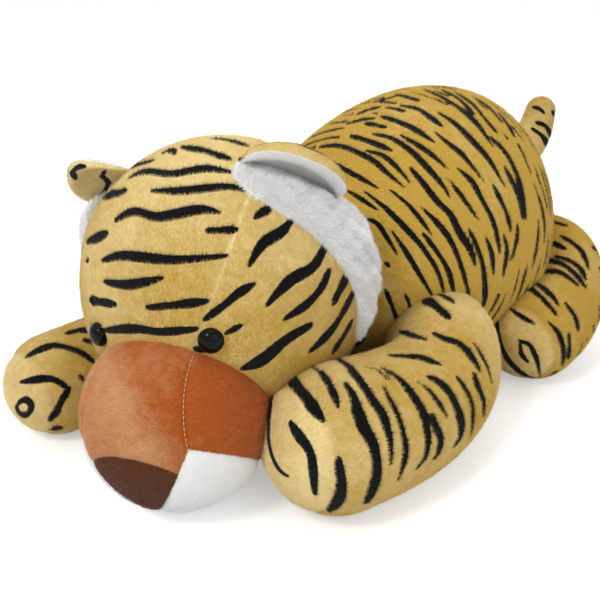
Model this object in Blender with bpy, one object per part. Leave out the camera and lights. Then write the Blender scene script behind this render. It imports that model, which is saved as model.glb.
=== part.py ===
"""A large plush tiger lying on its belly with its chin on the floor, its head turned a little to its left.

Metres, +Z up. The tiger faces -Y and its left side is +X. The origin is on the flat of the belly that
rests on the floor. Fabric pieces are shells of one thickness, sewn edge to edge, and each stuffed
part holds its own body of fibre.
"""

import math

import bmesh
import bpy
from mathutils import Matrix, Vector

# Cloth and clearances

FABRIC = 0.003  # plush cloth with its pile
CLEARANCE = 0.0003  # left between pieces that touch
STUFFING_GAP = 0.0008  # left between the stuffing and the cloth round it
REST_DEPTH = 0.0005  # how deep a stuffed form is pressed flat on the floor
OVERRUN = 0.05  # how far a cutter reaches past what it cuts
SLIVER = 0.00001  # edges shorter than this are closed up after a cut
BLOCK_SHARE = 3.0  # half size of the cutting blocks, in torso lengths
SWEEP_SHARES = (0.0, 0.25, 0.5, 0.75, 1.0)  # of a joint's swing, where what it passes is cut clear
SMOOTH_ANGLE = 50.0

# Torso

TORSO_LENGTH = 0.284  # from the neck ball's middle to the rump
TORSO_HALF_WIDTH = 0.137
TORSO_HEIGHT = 0.296
TORSO_SIDES = 24
TORSO_SHARES = (
    # along, half width, underside, top
    (-0.06, 0.715, 0.137, 0.830),
    (0.00, 0.800, 0.085, 0.875),
    (0.10, 0.890, 0.034, 0.925),
    (0.26, 0.965, 0.000, 0.975),
    (0.44, 1.000, 0.000, 1.000),
    (0.62, 0.965, 0.000, 0.980),
    (0.76, 0.815, 0.014, 0.915),
    (0.86, 0.655, 0.061, 0.820),
    (0.933, 0.467, 0.154, 0.700),
    (0.98, 0.263, 0.266, 0.580),
)
TORSO_END_SHARE = 0.427  # height of the rump's hindmost point

# Neck ball, the round front end of the torso that the head sits on

NECK_RADIUS = 0.092
NECK_FORWARD = -0.142
NECK_HEIGHT = 0.150
NECK_RINGS = 4
NECK_ARC = 72.0  # how far from its foremost point the ball's surface shows
NECK_OPENING_SHARE = 0.8  # of the ball's radius, from its middle to the skin's open front
NECK_NOD = 7.0
SOCKET_RINGS = 12  # of the round hollow in the head's back that rides over the ball

# Head

HEAD_RADIUS = 0.131
HEAD_ASIDE = 0.004
HEAD_FORWARD = -0.282
HEAD_HEIGHT = 0.155
HEAD_TURN = 32.0
HEAD_DIP = 34.0
HEAD_TILT = 11.0
HEAD_SIDES = 28
HEAD_RINGS = 9
FOREHEAD_HALF_ANGLE = 33.0

# Muzzle

MUZZLE_RADIUS = 0.080
MUZZLE_REACH = 0.135  # from the head's middle to the muzzle's
MUZZLE_RINGS = 6
MUZZLE_SEAM_SPREAD = 7.5  # degrees that each side seam leans away from the middle
NOSE_PATCH_DEPTH = 0.018  # from the muzzle's tip back to the nose's upper seam
NOSE_TIP_DROP = 0.022
NOSE_TAPER = 39.0
CHIN_DEPTH = 0.049  # from the muzzle's tip back to the chin's seam
CHIN_SEAM_SLOPE = 19.0

# Ears

EAR_FRONT_REACH = -0.039
EAR_FRONT_ANGLE = 25.7
EAR_BACK_REACH = -0.052
EAR_BACK_ANGLE = 65.3
EAR_FOOT_BOW = 0.002  # how far the middle of the ear's foot lies behind its two ends
EAR_HEIGHT = 0.048
EAR_FRONT_DROOP = 41.6  # degrees that the ear leans outwards at its front end
EAR_BACK_DROOP = 59.3
EAR_LEAN_FORWARD = 15.3
EAR_CUP = 0.006
EAR_END_SHARE = 0.12  # of the ear's height at the two ends of its foot
EAR_ROUNDNESS = 2.6  # 2 is an ellipse, more is squarer
EAR_HINGE_SHARES = (0.2, 0.8)  # where the fold line meets the ear's foot
EAR_COLUMNS = 8
EAR_ROWS = 4
EAR_FOLD_FORWARD = 10.0
EAR_FOLD_BACK = 20.0

# Cheek ruffs, the strips of long white pile between ear and cheek

RUFF_THICKNESS = 0.010
RUFF_COLUMNS = 4
RUFF_RIM_SHARE = 0.12  # how far into its swell the front rim starts
RUFF_SWELL_SHARE = 0.78
RUFF_ANGLES = (31.0, 42.0, 54.0, 66.0, 78.0, 88.0, 97.0, 105.0, 112.0)
RUFF_FRONT_SHARES = (-0.09, -0.05, -0.03, 0.00, 0.03, 0.07, 0.13, 0.20, 0.20)
RUFF_BACK_SHARES = (-0.20, -0.21, -0.24, -0.28, -0.45, -0.48, -0.40, -0.24, 0.02)

# Eyes

EYE_RADIUS = 0.0105
EYE_BULGE_SHARE = 0.75
EYE_REACH = 0.099
EYE_ANGLE = 39.0
EYE_STEM_RADIUS = 0.0025
EYE_STEM_LENGTH = 0.014
EYE_SIDES = 16
EYE_RINGS = 4
WASHER_RADIUS = 0.0075
WASHER_THICKNESS = 0.0015
WASHER_DEPTH = 0.006  # of the washer's near face below the head's ball

# Front legs. A root or pivot is given in shares of the torso's half width, length and height. A spine's
# points are given as how far aside and behind the root they lie, in shares of the leg's reach, and how
# far they have come down from the root to the paw's middle.

FRONT_LEG_RADIUS = 0.050
FRONT_SWING = 20.0
FRONT_PIVOT_SHARES = (0.861, 0.275, 0.338)
LEFT_PAW_RADIUS = 0.0635
LEFT_LEG_REACH = 0.200
LEFT_ROOT_SHARES = (0.642, 0.173, 0.321)
LEFT_SPINE_SHARES = (
    (0.000, 0.000, 0.000),
    (0.170, -0.105, 0.344),
    (0.290, -0.240, 0.875),
    (0.345, -0.435, 1.125),
    (0.370, -0.685, 1.063),
    (0.340, -0.940, 1.000),
)
RIGHT_PAW_RADIUS = 0.049
RIGHT_LEG_REACH = 0.300
RIGHT_ROOT_SHARES = (0.511, 0.106, 0.372)
RIGHT_SPINE_SHARES = (
    (0.000, 0.000, 0.000),
    (0.093, -0.160, 0.390),
    (0.133, -0.393, 0.813),
    (0.133, -0.627, 0.959),
    (0.123, -0.827, 0.992),
    (0.107, -0.997, 1.000),
)

# Hind legs, given like the front ones

HIND_LEG_RADIUS = 0.050
HIND_SWING = 20.0
HIND_PIVOT_SHARES = (0.511, 0.993, 0.338)
HIND_PAW_RADIUS = 0.054
HIND_LEG_REACH = 0.110
HIND_ROOT_SHARES = (0.328, 0.859, 0.372)
HIND_SPINE_SHARES = (
    (0.000, 0.000, 0.000),
    (0.345, 0.100, 0.212),
    (0.573, -0.009, 0.602),
    (0.718, -0.327, 0.885),
    (0.764, -0.655, 1.000),
)

# All legs

LEG_ROOT_SHARE = 0.76  # of the leg's radius where it starts inside the torso
LEG_SIDES = 16
LEG_STEPS = 8
DOME_RINGS = 4
SOLE_SHARE = 0.55  # how far round the paw's dome the sole's seam lies

# Tail

TAIL_RADIUS = 0.020
TAIL_TIP_RADIUS = 0.017
TAIL_SIDES = 12
TAIL_SWING = 20.0
TAIL_PIVOT_SHARES = (0.0, 1.014, 0.642)
TAIL_LENGTH = 0.107
TAIL_ROOT_SHARES = (0.029, 0.887, 0.595)
TAIL_SPINE_SHARES = (
    # aside, behind and above the root, in tail lengths
    (0.000, 0.000, 0.000),
    (0.009, 0.355, 0.196),
    (0.000, 0.598, 0.411),
    (-0.028, 0.729, 0.645),
)

GOLD = (0.78, 0.50, 0.13, 1.0)
WHITE = (0.82, 0.82, 0.84, 1.0)
RUST = (0.47, 0.15, 0.04, 1.0)
BROWN = (0.11, 0.04, 0.02, 1.0)
BLACK = (0.01, 0.01, 0.01, 1.0)
FIBRE = (0.88, 0.88, 0.86, 1.0)


# Scene and materials


def clear_scene():
    for item in list(bpy.data.objects):
        bpy.data.objects.remove(item)


def material(name, colour, roughness):
    found = bpy.data.materials.get(name)
    if found:
        return found
    made = bpy.data.materials.new(name)
    made.use_nodes = True
    shader = made.node_tree.nodes["Principled BSDF"]
    shader.inputs["Base Color"].default_value = colour
    shader.inputs["Roughness"].default_value = roughness
    shader.inputs["Metallic"].default_value = 0.0
    return made


def plush(name, colour):
    return material(name, colour, 0.95)


# Mesh helpers


def new_object(name, points, faces, look=None):
    mesh = bpy.data.meshes.new(name)
    mesh.from_pydata([tuple(p) for p in points], [], faces)
    mesh.update()
    made = bpy.data.objects.new(name, mesh)
    bpy.context.scene.collection.objects.link(made)
    if look:
        mesh.materials.append(look)
    return made


def ring_form(name, rings, first_pole, last_pole, look=None):
    """A closed form through rings of equal count, with a point at each end."""
    count = len(rings[0])
    points = [p for ring in rings for p in ring]
    faces = []
    for row in range(len(rings) - 1):
        for side in range(count):
            following = (side + 1) % count
            low = row * count
            high = low + count
            faces.append((low + side, low + following, high + following))
            faces.append((low + side, high + following, high + side))
    first = len(points)
    last = first + 1
    points += [first_pole, last_pole]
    top = (len(rings) - 1) * count
    for side in range(count):
        following = (side + 1) % count
        faces.append((first, following, side))
        faces.append((last, top + side, top + following))
    made = new_object(name, points, faces, look)
    face_outward(made)
    return made


def grid_form(name, outer, inner, look=None):
    """A closed sheet between two grids of points, outer and inner, sewn along their rims."""
    rows = len(outer)
    columns = len(outer[0])
    points = [p for row in outer for p in row] + [p for row in inner for p in row]
    shift = rows * columns
    faces = []
    for row in range(rows - 1):
        for column in range(columns - 1):
            a = row * columns + column
            b = a + 1
            c = b + columns
            d = a + columns
            faces.append((a, b, c))
            faces.append((a, c, d))
            faces.append((shift + c, shift + b, shift + a))
            faces.append((shift + d, shift + c, shift + a))
    rim = [column for column in range(columns)]
    rim += [row * columns + columns - 1 for row in range(1, rows)]
    rim += [(rows - 1) * columns + column for column in range(columns - 2, -1, -1)]
    rim += [row * columns for row in range(rows - 2, 0, -1)]
    for place, point in enumerate(rim):
        following = rim[(place + 1) % len(rim)]
        faces.append((following, point, shift + point, shift + following))
    made = new_object(name, points, faces, look)
    face_outward(made)
    return made


def face_outward(item):
    shape = bmesh.new()
    shape.from_mesh(item.data)
    bmesh.ops.recalc_face_normals(shape, faces=shape.faces)
    shape.to_mesh(item.data)
    shape.free()


def smooth(item):
    item.data.shade_smooth()
    item.data.set_sharp_from_angle(angle=math.radians(SMOOTH_ANGLE))


def settle(item):
    """Replace the object's mesh by its evaluated one, so that the modifiers are used up."""
    graph = bpy.context.evaluated_depsgraph_get()
    mesh = bpy.data.meshes.new_from_object(item.evaluated_get(graph))
    item.modifiers.clear()
    shape = bmesh.new()
    shape.from_mesh(mesh)
    bmesh.ops.remove_doubles(shape, verts=shape.verts, dist=SLIVER)
    bmesh.ops.dissolve_degenerate(shape, edges=shape.edges, dist=SLIVER)
    shape.to_mesh(mesh)
    shape.free()
    item.data = mesh


def combine(item, other, operation):
    cut = item.modifiers.new("cut", "BOOLEAN")
    cut.operation = operation
    cut.solver = "EXACT"
    cut.object = other
    settle(item)


def remove(item):
    bpy.data.objects.remove(item)


def copy_of(item, name):
    made = item.copy()
    made.data = item.data.copy()
    made.name = name
    made.data.name = name
    bpy.context.scene.collection.objects.link(made)
    return made


def cut_away(item, cutters):
    for cutter in cutters:
        combine(item, cutter, "DIFFERENCE")


def turned(item, pivot, axis, degrees, name):
    """A copy of a form turned about a line through pivot."""
    made = copy_of(item, name)
    spin = Matrix.Rotation(math.radians(degrees), 4, axis)
    made.data.transform(Matrix.Translation(pivot) @ spin @ Matrix.Translation(-pivot))
    return made


def half_space_cell(name, planes, middle, size):
    """A convex block: a box of the given half size about middle, kept on the inner side of each plane."""
    shape = bmesh.new()
    bmesh.ops.create_cube(shape, size=2.0 * size, matrix=Matrix.Translation(middle))
    for point, outward in planes:
        everything = shape.verts[:] + shape.edges[:] + shape.faces[:]
        result = bmesh.ops.bisect_plane(
            shape, geom=everything, plane_co=point, plane_no=outward, clear_outer=True
        )
        rim = [part for part in result["geom_cut"] if isinstance(part, bmesh.types.BMEdge)]
        if rim:
            bmesh.ops.contextual_create(shape, geom=rim)
    bmesh.ops.recalc_face_normals(shape, faces=shape.faces)
    mesh = bpy.data.meshes.new(name)
    shape.to_mesh(mesh)
    shape.free()
    made = bpy.data.objects.new(name, mesh)
    bpy.context.scene.collection.objects.link(made)
    return made


# Smooth curves and bent tubes


def smooth_values(values, share):
    """A Catmull-Rom curve through values, read at a share of its way from 0 to 1."""
    last = len(values) - 1
    place = min(share * last, last - 1e-9)
    start = int(place)
    t = place - start
    before = values[max(start - 1, 0)]
    here = values[start]
    after = values[start + 1]
    beyond = values[min(start + 2, last)]
    lead = (after - before) * 0.5
    trail = (beyond - here) * 0.5
    return (
        here * (2 * t**3 - 3 * t**2 + 1)
        + lead * (t**3 - 2 * t**2 + t)
        + after * (3 * t**2 - 2 * t**3)
        + trail * (t**3 - t**2)
    )


def tube_rings(spine, radii, sides, steps, grow):
    """Rings along a smooth spine, the last ones closing as a dome, and the two end points."""
    centres = [smooth_values(spine, step / steps) for step in range(steps + 1)]
    widths = [smooth_values(radii, step / steps) + grow for step in range(steps + 1)]
    rings = []
    up = Vector((0.0, 0.0, 1.0))
    for step, centre in enumerate(centres):
        ahead = centres[min(step + 1, steps)] - centres[max(step - 1, 0)]
        ahead.normalize()
        across = ahead.cross(up).normalized()
        above = across.cross(ahead)
        up = above
        rings.append(round_ring(centre, across, above, widths[step], sides))
    for ring in range(1, DOME_RINGS):
        turn = 0.5 * math.pi * ring / DOME_RINGS
        centre = centres[-1] + ahead * widths[-1] * math.sin(turn)
        rings.append(round_ring(centre, across, above, widths[-1] * math.cos(turn), sides))
    return rings, centres[0], centres[-1] + ahead * widths[-1]


def round_ring(centre, across, above, radius, sides):
    return [
        centre
        + across * radius * math.cos(2 * math.pi * side / sides)
        + above * radius * math.sin(2 * math.pi * side / sides)
        for side in range(sides)
    ]


# Torso


def neck_middle():
    return Vector((0.0, NECK_FORWARD, NECK_HEIGHT))


def torso_place(sign, shares):
    """A place in or on the torso, from its shares of half width, length behind the neck and height."""
    aside, along, height = shares
    return Vector(
        (sign * aside * TORSO_HALF_WIDTH, NECK_FORWARD + along * TORSO_LENGTH, height * TORSO_HEIGHT)
    )


def torso_form(name, grow, look=None):
    """The torso's closed form, grown or shrunk by an even amount."""
    neck = neck_middle()
    right = Vector((1.0, 0.0, 0.0))
    up = Vector((0.0, 0.0, 1.0))
    radius = NECK_RADIUS + grow
    rings = []
    for ring in range(1, NECK_RINGS + 1):
        turn = math.radians(NECK_ARC) * ring / NECK_RINGS
        centre = neck + Vector((0.0, -radius * math.cos(turn), 0.0))
        rings.append(round_ring(centre, right, up, radius * math.sin(turn), TORSO_SIDES))
    for along, half_width, underside, top in TORSO_SHARES:
        low = underside * TORSO_HEIGHT - REST_DEPTH - grow
        high = top * TORSO_HEIGHT + grow
        wide = half_width * TORSO_HALF_WIDTH + grow
        centre = Vector((0.0, neck.y + along * TORSO_LENGTH, 0.5 * (low + high)))
        rings.append(
            [
                centre
                + right * wide * math.cos(2 * math.pi * side / TORSO_SIDES)
                + up * 0.5 * (high - low) * math.sin(2 * math.pi * side / TORSO_SIDES)
                for side in range(TORSO_SIDES)
            ]
        )
    front = neck + Vector((0.0, -radius, 0.0))
    rear = Vector((0.0, neck.y + TORSO_LENGTH + grow, TORSO_END_SHARE * TORSO_HEIGHT))
    return ring_form(name, rings, front, rear, look)


def neck_socket():
    """The round hollow in the head's back, wide enough that its flat facets clear the neck ball."""
    neck = neck_middle()
    facet = math.cos(0.5 * math.pi / SOCKET_RINGS) * math.cos(math.pi / TORSO_SIDES)
    radius = (NECK_RADIUS + CLEARANCE) / facet
    rings = []
    for ring in range(1, SOCKET_RINGS):
        turn = math.pi * ring / SOCKET_RINGS
        centre = neck + Vector((0.0, -radius * math.cos(turn), 0.0))
        right = Vector((1.0, 0.0, 0.0))
        up = Vector((0.0, 0.0, 1.0))
        rings.append(round_ring(centre, right, up, radius * math.sin(turn), TORSO_SIDES))
    front = neck + Vector((0.0, -radius, 0.0))
    rear = neck + Vector((0.0, radius, 0.0))
    return ring_form("neck_socket", rings, front, rear)


def floor_block():
    """Everything below the floor, for pressing a form flat."""
    return half_space_cell(
        "floor_block", [(Vector(), Vector((0.0, 0.0, 1.0)))], Vector(), BLOCK_SHARE * TORSO_LENGTH
    )


def make_torso(floor):
    skin = torso_form("torso_skin", 0.0, plush("striped_plush", GOLD))
    hollow = torso_form("torso_hollow", -FABRIC)
    combine(skin, hollow, "DIFFERENCE")
    neck = neck_middle()
    opening = half_space_cell(
        "neck_opening",
        [(neck + Vector((0.0, -NECK_OPENING_SHARE * NECK_RADIUS, 0.0)), Vector((0.0, 1.0, 0.0)))],
        neck,
        NECK_RADIUS + OVERRUN,
    )
    combine(skin, opening, "DIFFERENCE")
    combine(skin, floor, "DIFFERENCE")
    stuffing = torso_form("torso_stuffing", -FABRIC - STUFFING_GAP, material("fibre", FIBRE, 1.0))
    remove(hollow)
    remove(opening)
    return skin, stuffing


# Head frame: along runs from the head's middle to the nose, across to the tiger's left, above to the brow


class HeadFrame:
    def __init__(self):
        turn = math.radians(HEAD_TURN)
        dip = math.radians(HEAD_DIP)
        tilt = math.radians(HEAD_TILT)
        self.middle = Vector((HEAD_ASIDE, HEAD_FORWARD, HEAD_HEIGHT))
        self.along = Vector(
            (math.sin(turn) * math.cos(dip), -math.cos(turn) * math.cos(dip), -math.sin(dip))
        )
        level = Vector((math.cos(turn), math.sin(turn), 0.0))
        upright = level.cross(self.along) * -1.0
        self.across = level * math.cos(tilt) + upright * math.sin(tilt)
        self.above = upright * math.cos(tilt) - level * math.sin(tilt)

    def place(self, reach, aside, height):
        return self.middle + self.along * reach + self.across * aside + self.above * height

    def direction(self, reach, aside, height):
        return self.along * reach + self.across * aside + self.above * height

    def on_ball(self, reach, angle, lift):
        """A point over the head's ball, at a distance along the head and an angle from the brow."""
        turn = math.radians(angle)
        radius = math.sqrt(HEAD_RADIUS**2 - reach**2)
        point = self.place(reach, radius * math.sin(turn), radius * math.cos(turn))
        outward = (point - self.middle).normalized()
        return point + outward * lift


def muzzle_seam_reach():
    """Where the ball and the muzzle's ball meet, measured along the head."""
    return (HEAD_RADIUS**2 - MUZZLE_RADIUS**2 + MUZZLE_REACH**2) / (2.0 * MUZZLE_REACH)


def head_form(name, frame, grow, look=None):
    """The closed form of head and muzzle: two balls that meet at the muzzle's seam."""
    seam = muzzle_seam_reach()
    seam_radius = math.sqrt(HEAD_RADIUS**2 - seam**2)
    ball_turn = math.pi - math.atan2(seam_radius, seam)
    muzzle_turn = math.atan2(seam_radius, seam - MUZZLE_REACH)
    outlines = []
    for ring in range(1, HEAD_RINGS + 1):
        turn = ball_turn * ring / HEAD_RINGS
        radius = HEAD_RADIUS + grow
        outlines.append((-radius * math.cos(turn), radius * math.sin(turn)))
    for ring in range(1, MUZZLE_RINGS):
        turn = muzzle_turn * (1.0 - ring / MUZZLE_RINGS)
        radius = MUZZLE_RADIUS + grow
        outlines.append((MUZZLE_REACH + radius * math.cos(turn), radius * math.sin(turn)))
    rings = [
        round_ring(frame.place(reach, 0.0, 0.0), frame.across, frame.above, radius, HEAD_SIDES)
        for reach, radius in outlines
    ]
    back = frame.place(-HEAD_RADIUS - grow, 0.0, 0.0)
    nose = frame.place(MUZZLE_REACH + MUZZLE_RADIUS + grow, 0.0, 0.0)
    return ring_form(name, rings, back, nose, look)


def plane(frame, point, outward, margin):
    """A plane given in the head's own directions, moved inwards by a margin."""
    normal = frame.direction(*outward).normalized()
    return frame.place(*point) - normal * margin, normal


def seam_planes(frame, margin):
    """The planes that every seam of the head lies on, each as (before, behind) pairs."""
    seam = muzzle_seam_reach()
    corner_aside = math.sqrt(HEAD_RADIUS**2 - seam**2) * math.sin(math.radians(FOREHEAD_HALF_ANGLE))
    forehead = math.radians(FOREHEAD_HALF_ANGLE)
    spread = math.radians(MUZZLE_SEAM_SPREAD)
    taper = math.radians(NOSE_TAPER)
    slope = math.radians(CHIN_SEAM_SLOPE)
    tip = MUZZLE_REACH + MUZZLE_RADIUS
    nose_seam = tip - NOSE_PATCH_DEPTH
    chin_seam = tip - CHIN_DEPTH
    return {
        "behind_muzzle_seam": plane(frame, (seam, 0, 0), (1, 0, 0), margin),
        "before_muzzle_seam": plane(frame, (seam, 0, 0), (-1, 0, 0), margin),
        "left_of_brow": plane(frame, (0, 0, 0), (0, math.cos(forehead), -math.sin(forehead)), margin),
        "right_of_brow": plane(frame, (0, 0, 0), (0, -math.cos(forehead), -math.sin(forehead)), margin),
        "inside_left_seam": plane(
            frame, (seam, corner_aside, 0), (-math.sin(spread), math.cos(spread), 0), margin
        ),
        "inside_right_seam": plane(
            frame, (seam, -corner_aside, 0), (-math.sin(spread), -math.cos(spread), 0), margin
        ),
        "left_nose_edge": plane(
            frame, (0, 0, -NOSE_TIP_DROP), (0, math.cos(taper), -math.sin(taper)), margin
        ),
        "right_nose_edge": plane(
            frame, (0, 0, -NOSE_TIP_DROP), (0, -math.cos(taper), -math.sin(taper)), margin
        ),
        "above_nose": plane(frame, (nose_seam, 0, 0), (1, 0, 0), margin),
        "below_bridge": plane(frame, (nose_seam, 0, 0), (-1, 0, 0), margin),
        "above_chin": plane(frame, (chin_seam, 0, 0), (math.cos(slope), 0, -math.sin(slope)), margin),
        "below_cheek": plane(frame, (chin_seam, 0, 0), (-math.cos(slope), 0, math.sin(slope)), margin),
        "left_half": plane(frame, (0, 0, 0), (0, -1, 0), margin),
        "right_half": plane(frame, (0, 0, 0), (0, 1, 0), margin),
    }


def head_cell(frame, names, margin):
    planes = seam_planes(frame, margin)
    size = HEAD_RADIUS + MUZZLE_REACH
    return half_space_cell("cell", [planes[name] for name in names], frame.middle, size)


BRIDGE_CELL = (
    "before_muzzle_seam",
    "inside_left_seam",
    "inside_right_seam",
    "left_nose_edge",
    "right_nose_edge",
    "above_nose",
)
NOSE_CELL = ("below_bridge", "left_nose_edge", "right_nose_edge")


def head_panel(shell, frame, name, keep, spare, look):
    """One sewn panel: the part of the head's shell inside a cell and outside the spared cells."""
    panel = copy_of(shell, name)
    panel.data.materials.clear()
    panel.data.materials.append(look)
    cell = head_cell(frame, keep, 0.5 * CLEARANCE)
    combine(panel, cell, "INTERSECT")
    remove(cell)
    for names in spare:
        cell = head_cell(frame, names, -0.5 * CLEARANCE)
        combine(panel, cell, "DIFFERENCE")
        remove(cell)
    panel.data.materials.clear()
    panel.data.materials.append(look)
    return panel


def make_head(frame, floor, socket):
    shell = head_form("head_shell", frame, 0.0)
    hollow = head_form("head_hollow", frame, -FABRIC)
    combine(shell, hollow, "DIFFERENCE")
    cut_away(shell, [socket])
    combine(shell, floor, "DIFFERENCE")
    striped = plush("striped_plush", GOLD)
    rust = plush("rust_plush", RUST)
    white = plush("white_plush", WHITE)
    panels = {
        "forehead_panel": (("behind_muzzle_seam", "left_of_brow", "right_of_brow"), (), striped),
        "muzzle_bridge": (BRIDGE_CELL, (), rust),
        "nose_patch": (NOSE_CELL, (), plush("brown_plush", BROWN)),
    }
    for side in ("left", "right"):
        brow = ("behind_muzzle_seam", "left_of_brow", "right_of_brow")
        panels[f"head_side_{side}"] = (("behind_muzzle_seam", f"{side}_half"), (brow,), striped)
        cheek = ("before_muzzle_seam", "above_chin", f"{side}_half")
        panels[f"muzzle_side_{side}"] = (cheek, (BRIDGE_CELL, NOSE_CELL), rust)
        chin = ("before_muzzle_seam", "below_cheek", f"{side}_half")
        panels[f"chin_{side}"] = (chin, (BRIDGE_CELL, NOSE_CELL), white)
    made = {}
    for name, (keep, spare, look) in panels.items():
        made[name] = head_panel(shell, frame, name, keep, spare, look)
    stuffing = head_form(
        "head_stuffing", frame, -FABRIC - STUFFING_GAP, material("fibre", FIBRE, 1.0)
    )
    cut_away(stuffing, [socket])
    remove(shell)
    remove(hollow)
    made["head_stuffing"] = stuffing
    return made


# Eyes


def lathe(name, outline, sides, look=None):
    """A turned solid about Z from (radius, height) points that start and end on the axis."""
    rings = []
    for radius, height in outline[1:-1]:
        centre = Vector((0.0, 0.0, height))
        rings.append(round_ring(centre, Vector((1, 0, 0)), Vector((0, 1, 0)), radius, sides))
    first = Vector((0.0, 0.0, outline[0][1]))
    last = Vector((0.0, 0.0, outline[-1][1]))
    return ring_form(name, rings, first, last, look)


def aim(item, point, outward):
    item.data.transform(Vector((0, 0, 1)).rotation_difference(outward).to_matrix().to_4x4())
    item.data.transform(Matrix.Translation(point))


def make_eye(frame, side, sign, head):
    point = frame.on_ball(EYE_REACH, sign * EYE_ANGLE, CLEARANCE)
    outward = (point - frame.middle).normalized()
    dome = [
        (EYE_RADIUS * math.cos(turn), EYE_RADIUS * EYE_BULGE_SHARE * math.sin(turn))
        for turn in (0.5 * math.pi * ring / EYE_RINGS for ring in range(EYE_RINGS + 1))
    ]
    outline = [(0.0, -EYE_STEM_LENGTH), (EYE_STEM_RADIUS, -EYE_STEM_LENGTH), (EYE_STEM_RADIUS, 0.0)]
    gloss = material("black_gloss", BLACK, 0.08)
    eye = lathe(f"eye_{side}", outline + dome, EYE_SIDES, gloss)
    aim(eye, point, outward)
    depth = WASHER_DEPTH
    washer_outline = [
        (0.0, -depth - WASHER_THICKNESS),
        (WASHER_RADIUS, -depth - WASHER_THICKNESS),
        (WASHER_RADIUS, -depth),
        (0.0, -depth),
    ]
    washer = lathe(f"eye_washer_{side}", washer_outline, EYE_SIDES, material("washer", FIBRE, 0.4))
    aim(washer, point, outward)
    bore = EYE_STEM_RADIUS + CLEARANCE
    bore_outline = [(0.0, -OVERRUN), (bore, -OVERRUN), (bore, OVERRUN), (0.0, OVERRUN)]
    stem_hole = lathe("stem_hole", bore_outline, EYE_SIDES)
    aim(stem_hole, point, outward)
    combine(washer, stem_hole, "DIFFERENCE")
    seat = half_space_cell(
        "eye_seat", [(point - outward * CLEARANCE, -outward)], point, EYE_RADIUS + CLEARANCE
    )
    panel = head[f"head_side_{side}"]
    combine(panel, stem_hole, "DIFFERENCE")
    combine(panel, seat, "DIFFERENCE")
    pocket_outline = [
        (0.0, -EYE_STEM_LENGTH - CLEARANCE),
        (bore, -EYE_STEM_LENGTH - CLEARANCE),
        (bore, -depth - WASHER_THICKNESS - CLEARANCE),
        (WASHER_RADIUS + CLEARANCE, -depth - WASHER_THICKNESS - CLEARANCE),
        (WASHER_RADIUS + CLEARANCE, OVERRUN),
        (0.0, OVERRUN),
    ]
    pocket = lathe("eye_pocket", pocket_outline, EYE_SIDES)
    aim(pocket, point, outward)
    combine(head["head_stuffing"], pocket, "DIFFERENCE")
    for cutter in (stem_hole, seat, pocket):
        remove(cutter)
    return eye, washer


# Ears


def ear_foot(frame, sign, share):
    """A point on the ear's foot, which bows backwards over the ball between its two ends."""
    front = frame.on_ball(EAR_FRONT_REACH, sign * EAR_FRONT_ANGLE, 0.0)
    back = frame.on_ball(EAR_BACK_REACH, sign * EAR_BACK_ANGLE, 0.0)
    point = front.lerp(back, share) - frame.along * EAR_FOOT_BOW * math.sin(math.pi * share)
    outward = (point - frame.middle).normalized()
    return frame.middle + outward * (HEAD_RADIUS + CLEARANCE)


def ear_grids(frame, sign, near, far):
    """Two grids of points over the ear, at the near and far side of one of its cloth layers."""
    near_rows = []
    far_rows = []
    step = 1.0 / EAR_COLUMNS
    lean = math.radians(EAR_LEAN_FORWARD)
    for row in range(EAR_ROWS + 1):
        rise = row / EAR_ROWS
        near_line = []
        far_line = []
        for column in range(EAR_COLUMNS + 1):
            share = column / EAR_COLUMNS
            foot = ear_foot(frame, sign, share)
            run = ear_foot(frame, sign, min(share + step, 1.0)) - ear_foot(
                frame, sign, max(share - step, 0.0)
            )
            droop = math.radians(EAR_FRONT_DROOP + (EAR_BACK_DROOP - EAR_FRONT_DROOP) * share)
            sideways = frame.direction(0.0, sign * math.sin(droop), math.cos(droop))
            away = sideways * math.cos(lean) + frame.along * math.sin(lean)
            facing = away.cross(run).normalized()
            if facing.dot(frame.along) < 0.0:
                facing = -facing
            bow = (1.0 - abs(2.0 * share - 1.0) ** EAR_ROUNDNESS) ** (1.0 / EAR_ROUNDNESS)
            height = EAR_HEIGHT * (EAR_END_SHARE + (1.0 - EAR_END_SHARE) * bow) * rise
            cup = EAR_CUP * math.sin(math.pi * rise) * math.sin(math.pi * share)
            middle = foot + away * height - facing * cup
            near_line.append(middle + facing * near)
            far_line.append(middle + facing * far)
        near_rows.append(near_line)
        far_rows.append(far_line)
    return near_rows, far_rows


def make_ear(frame, side, sign, head_grown):
    """An ear of two layers. The left one's lining faces forwards; the right one lies turned over."""
    half = 0.5 * CLEARANCE
    forward = ear_grids(frame, sign, half + FABRIC, half)
    backward = ear_grids(frame, sign, -half, -half - FABRIC)
    lining_grids, back_grids = (forward, backward) if side == "left" else (backward, forward)
    lining = grid_form(f"ear_lining_{side}", *lining_grids, plush("white_plush", WHITE))
    back = grid_form(f"ear_back_{side}", *back_grids, plush("striped_plush", GOLD))
    pivot, axis = ear_hinge(frame, sign)
    for degrees in (-EAR_FOLD_BACK, -EAR_FOLD_FORWARD, 0.0, EAR_FOLD_FORWARD, EAR_FOLD_BACK):
        cutter = turned(head_grown, pivot, axis, degrees, "ear_cutter")
        cut_away(lining, [cutter])
        cut_away(back, [cutter])
        remove(cutter)
    return lining, back


def ear_hinge(frame, sign):
    """The fold line at the foot of an ear: a point on it and its direction, front to back."""
    front = ear_foot(frame, sign, EAR_HINGE_SHARES[0])
    back = ear_foot(frame, sign, EAR_HINGE_SHARES[1])
    return front.lerp(back, 0.5), (back - front).normalized()


# Cheek ruffs


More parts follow.
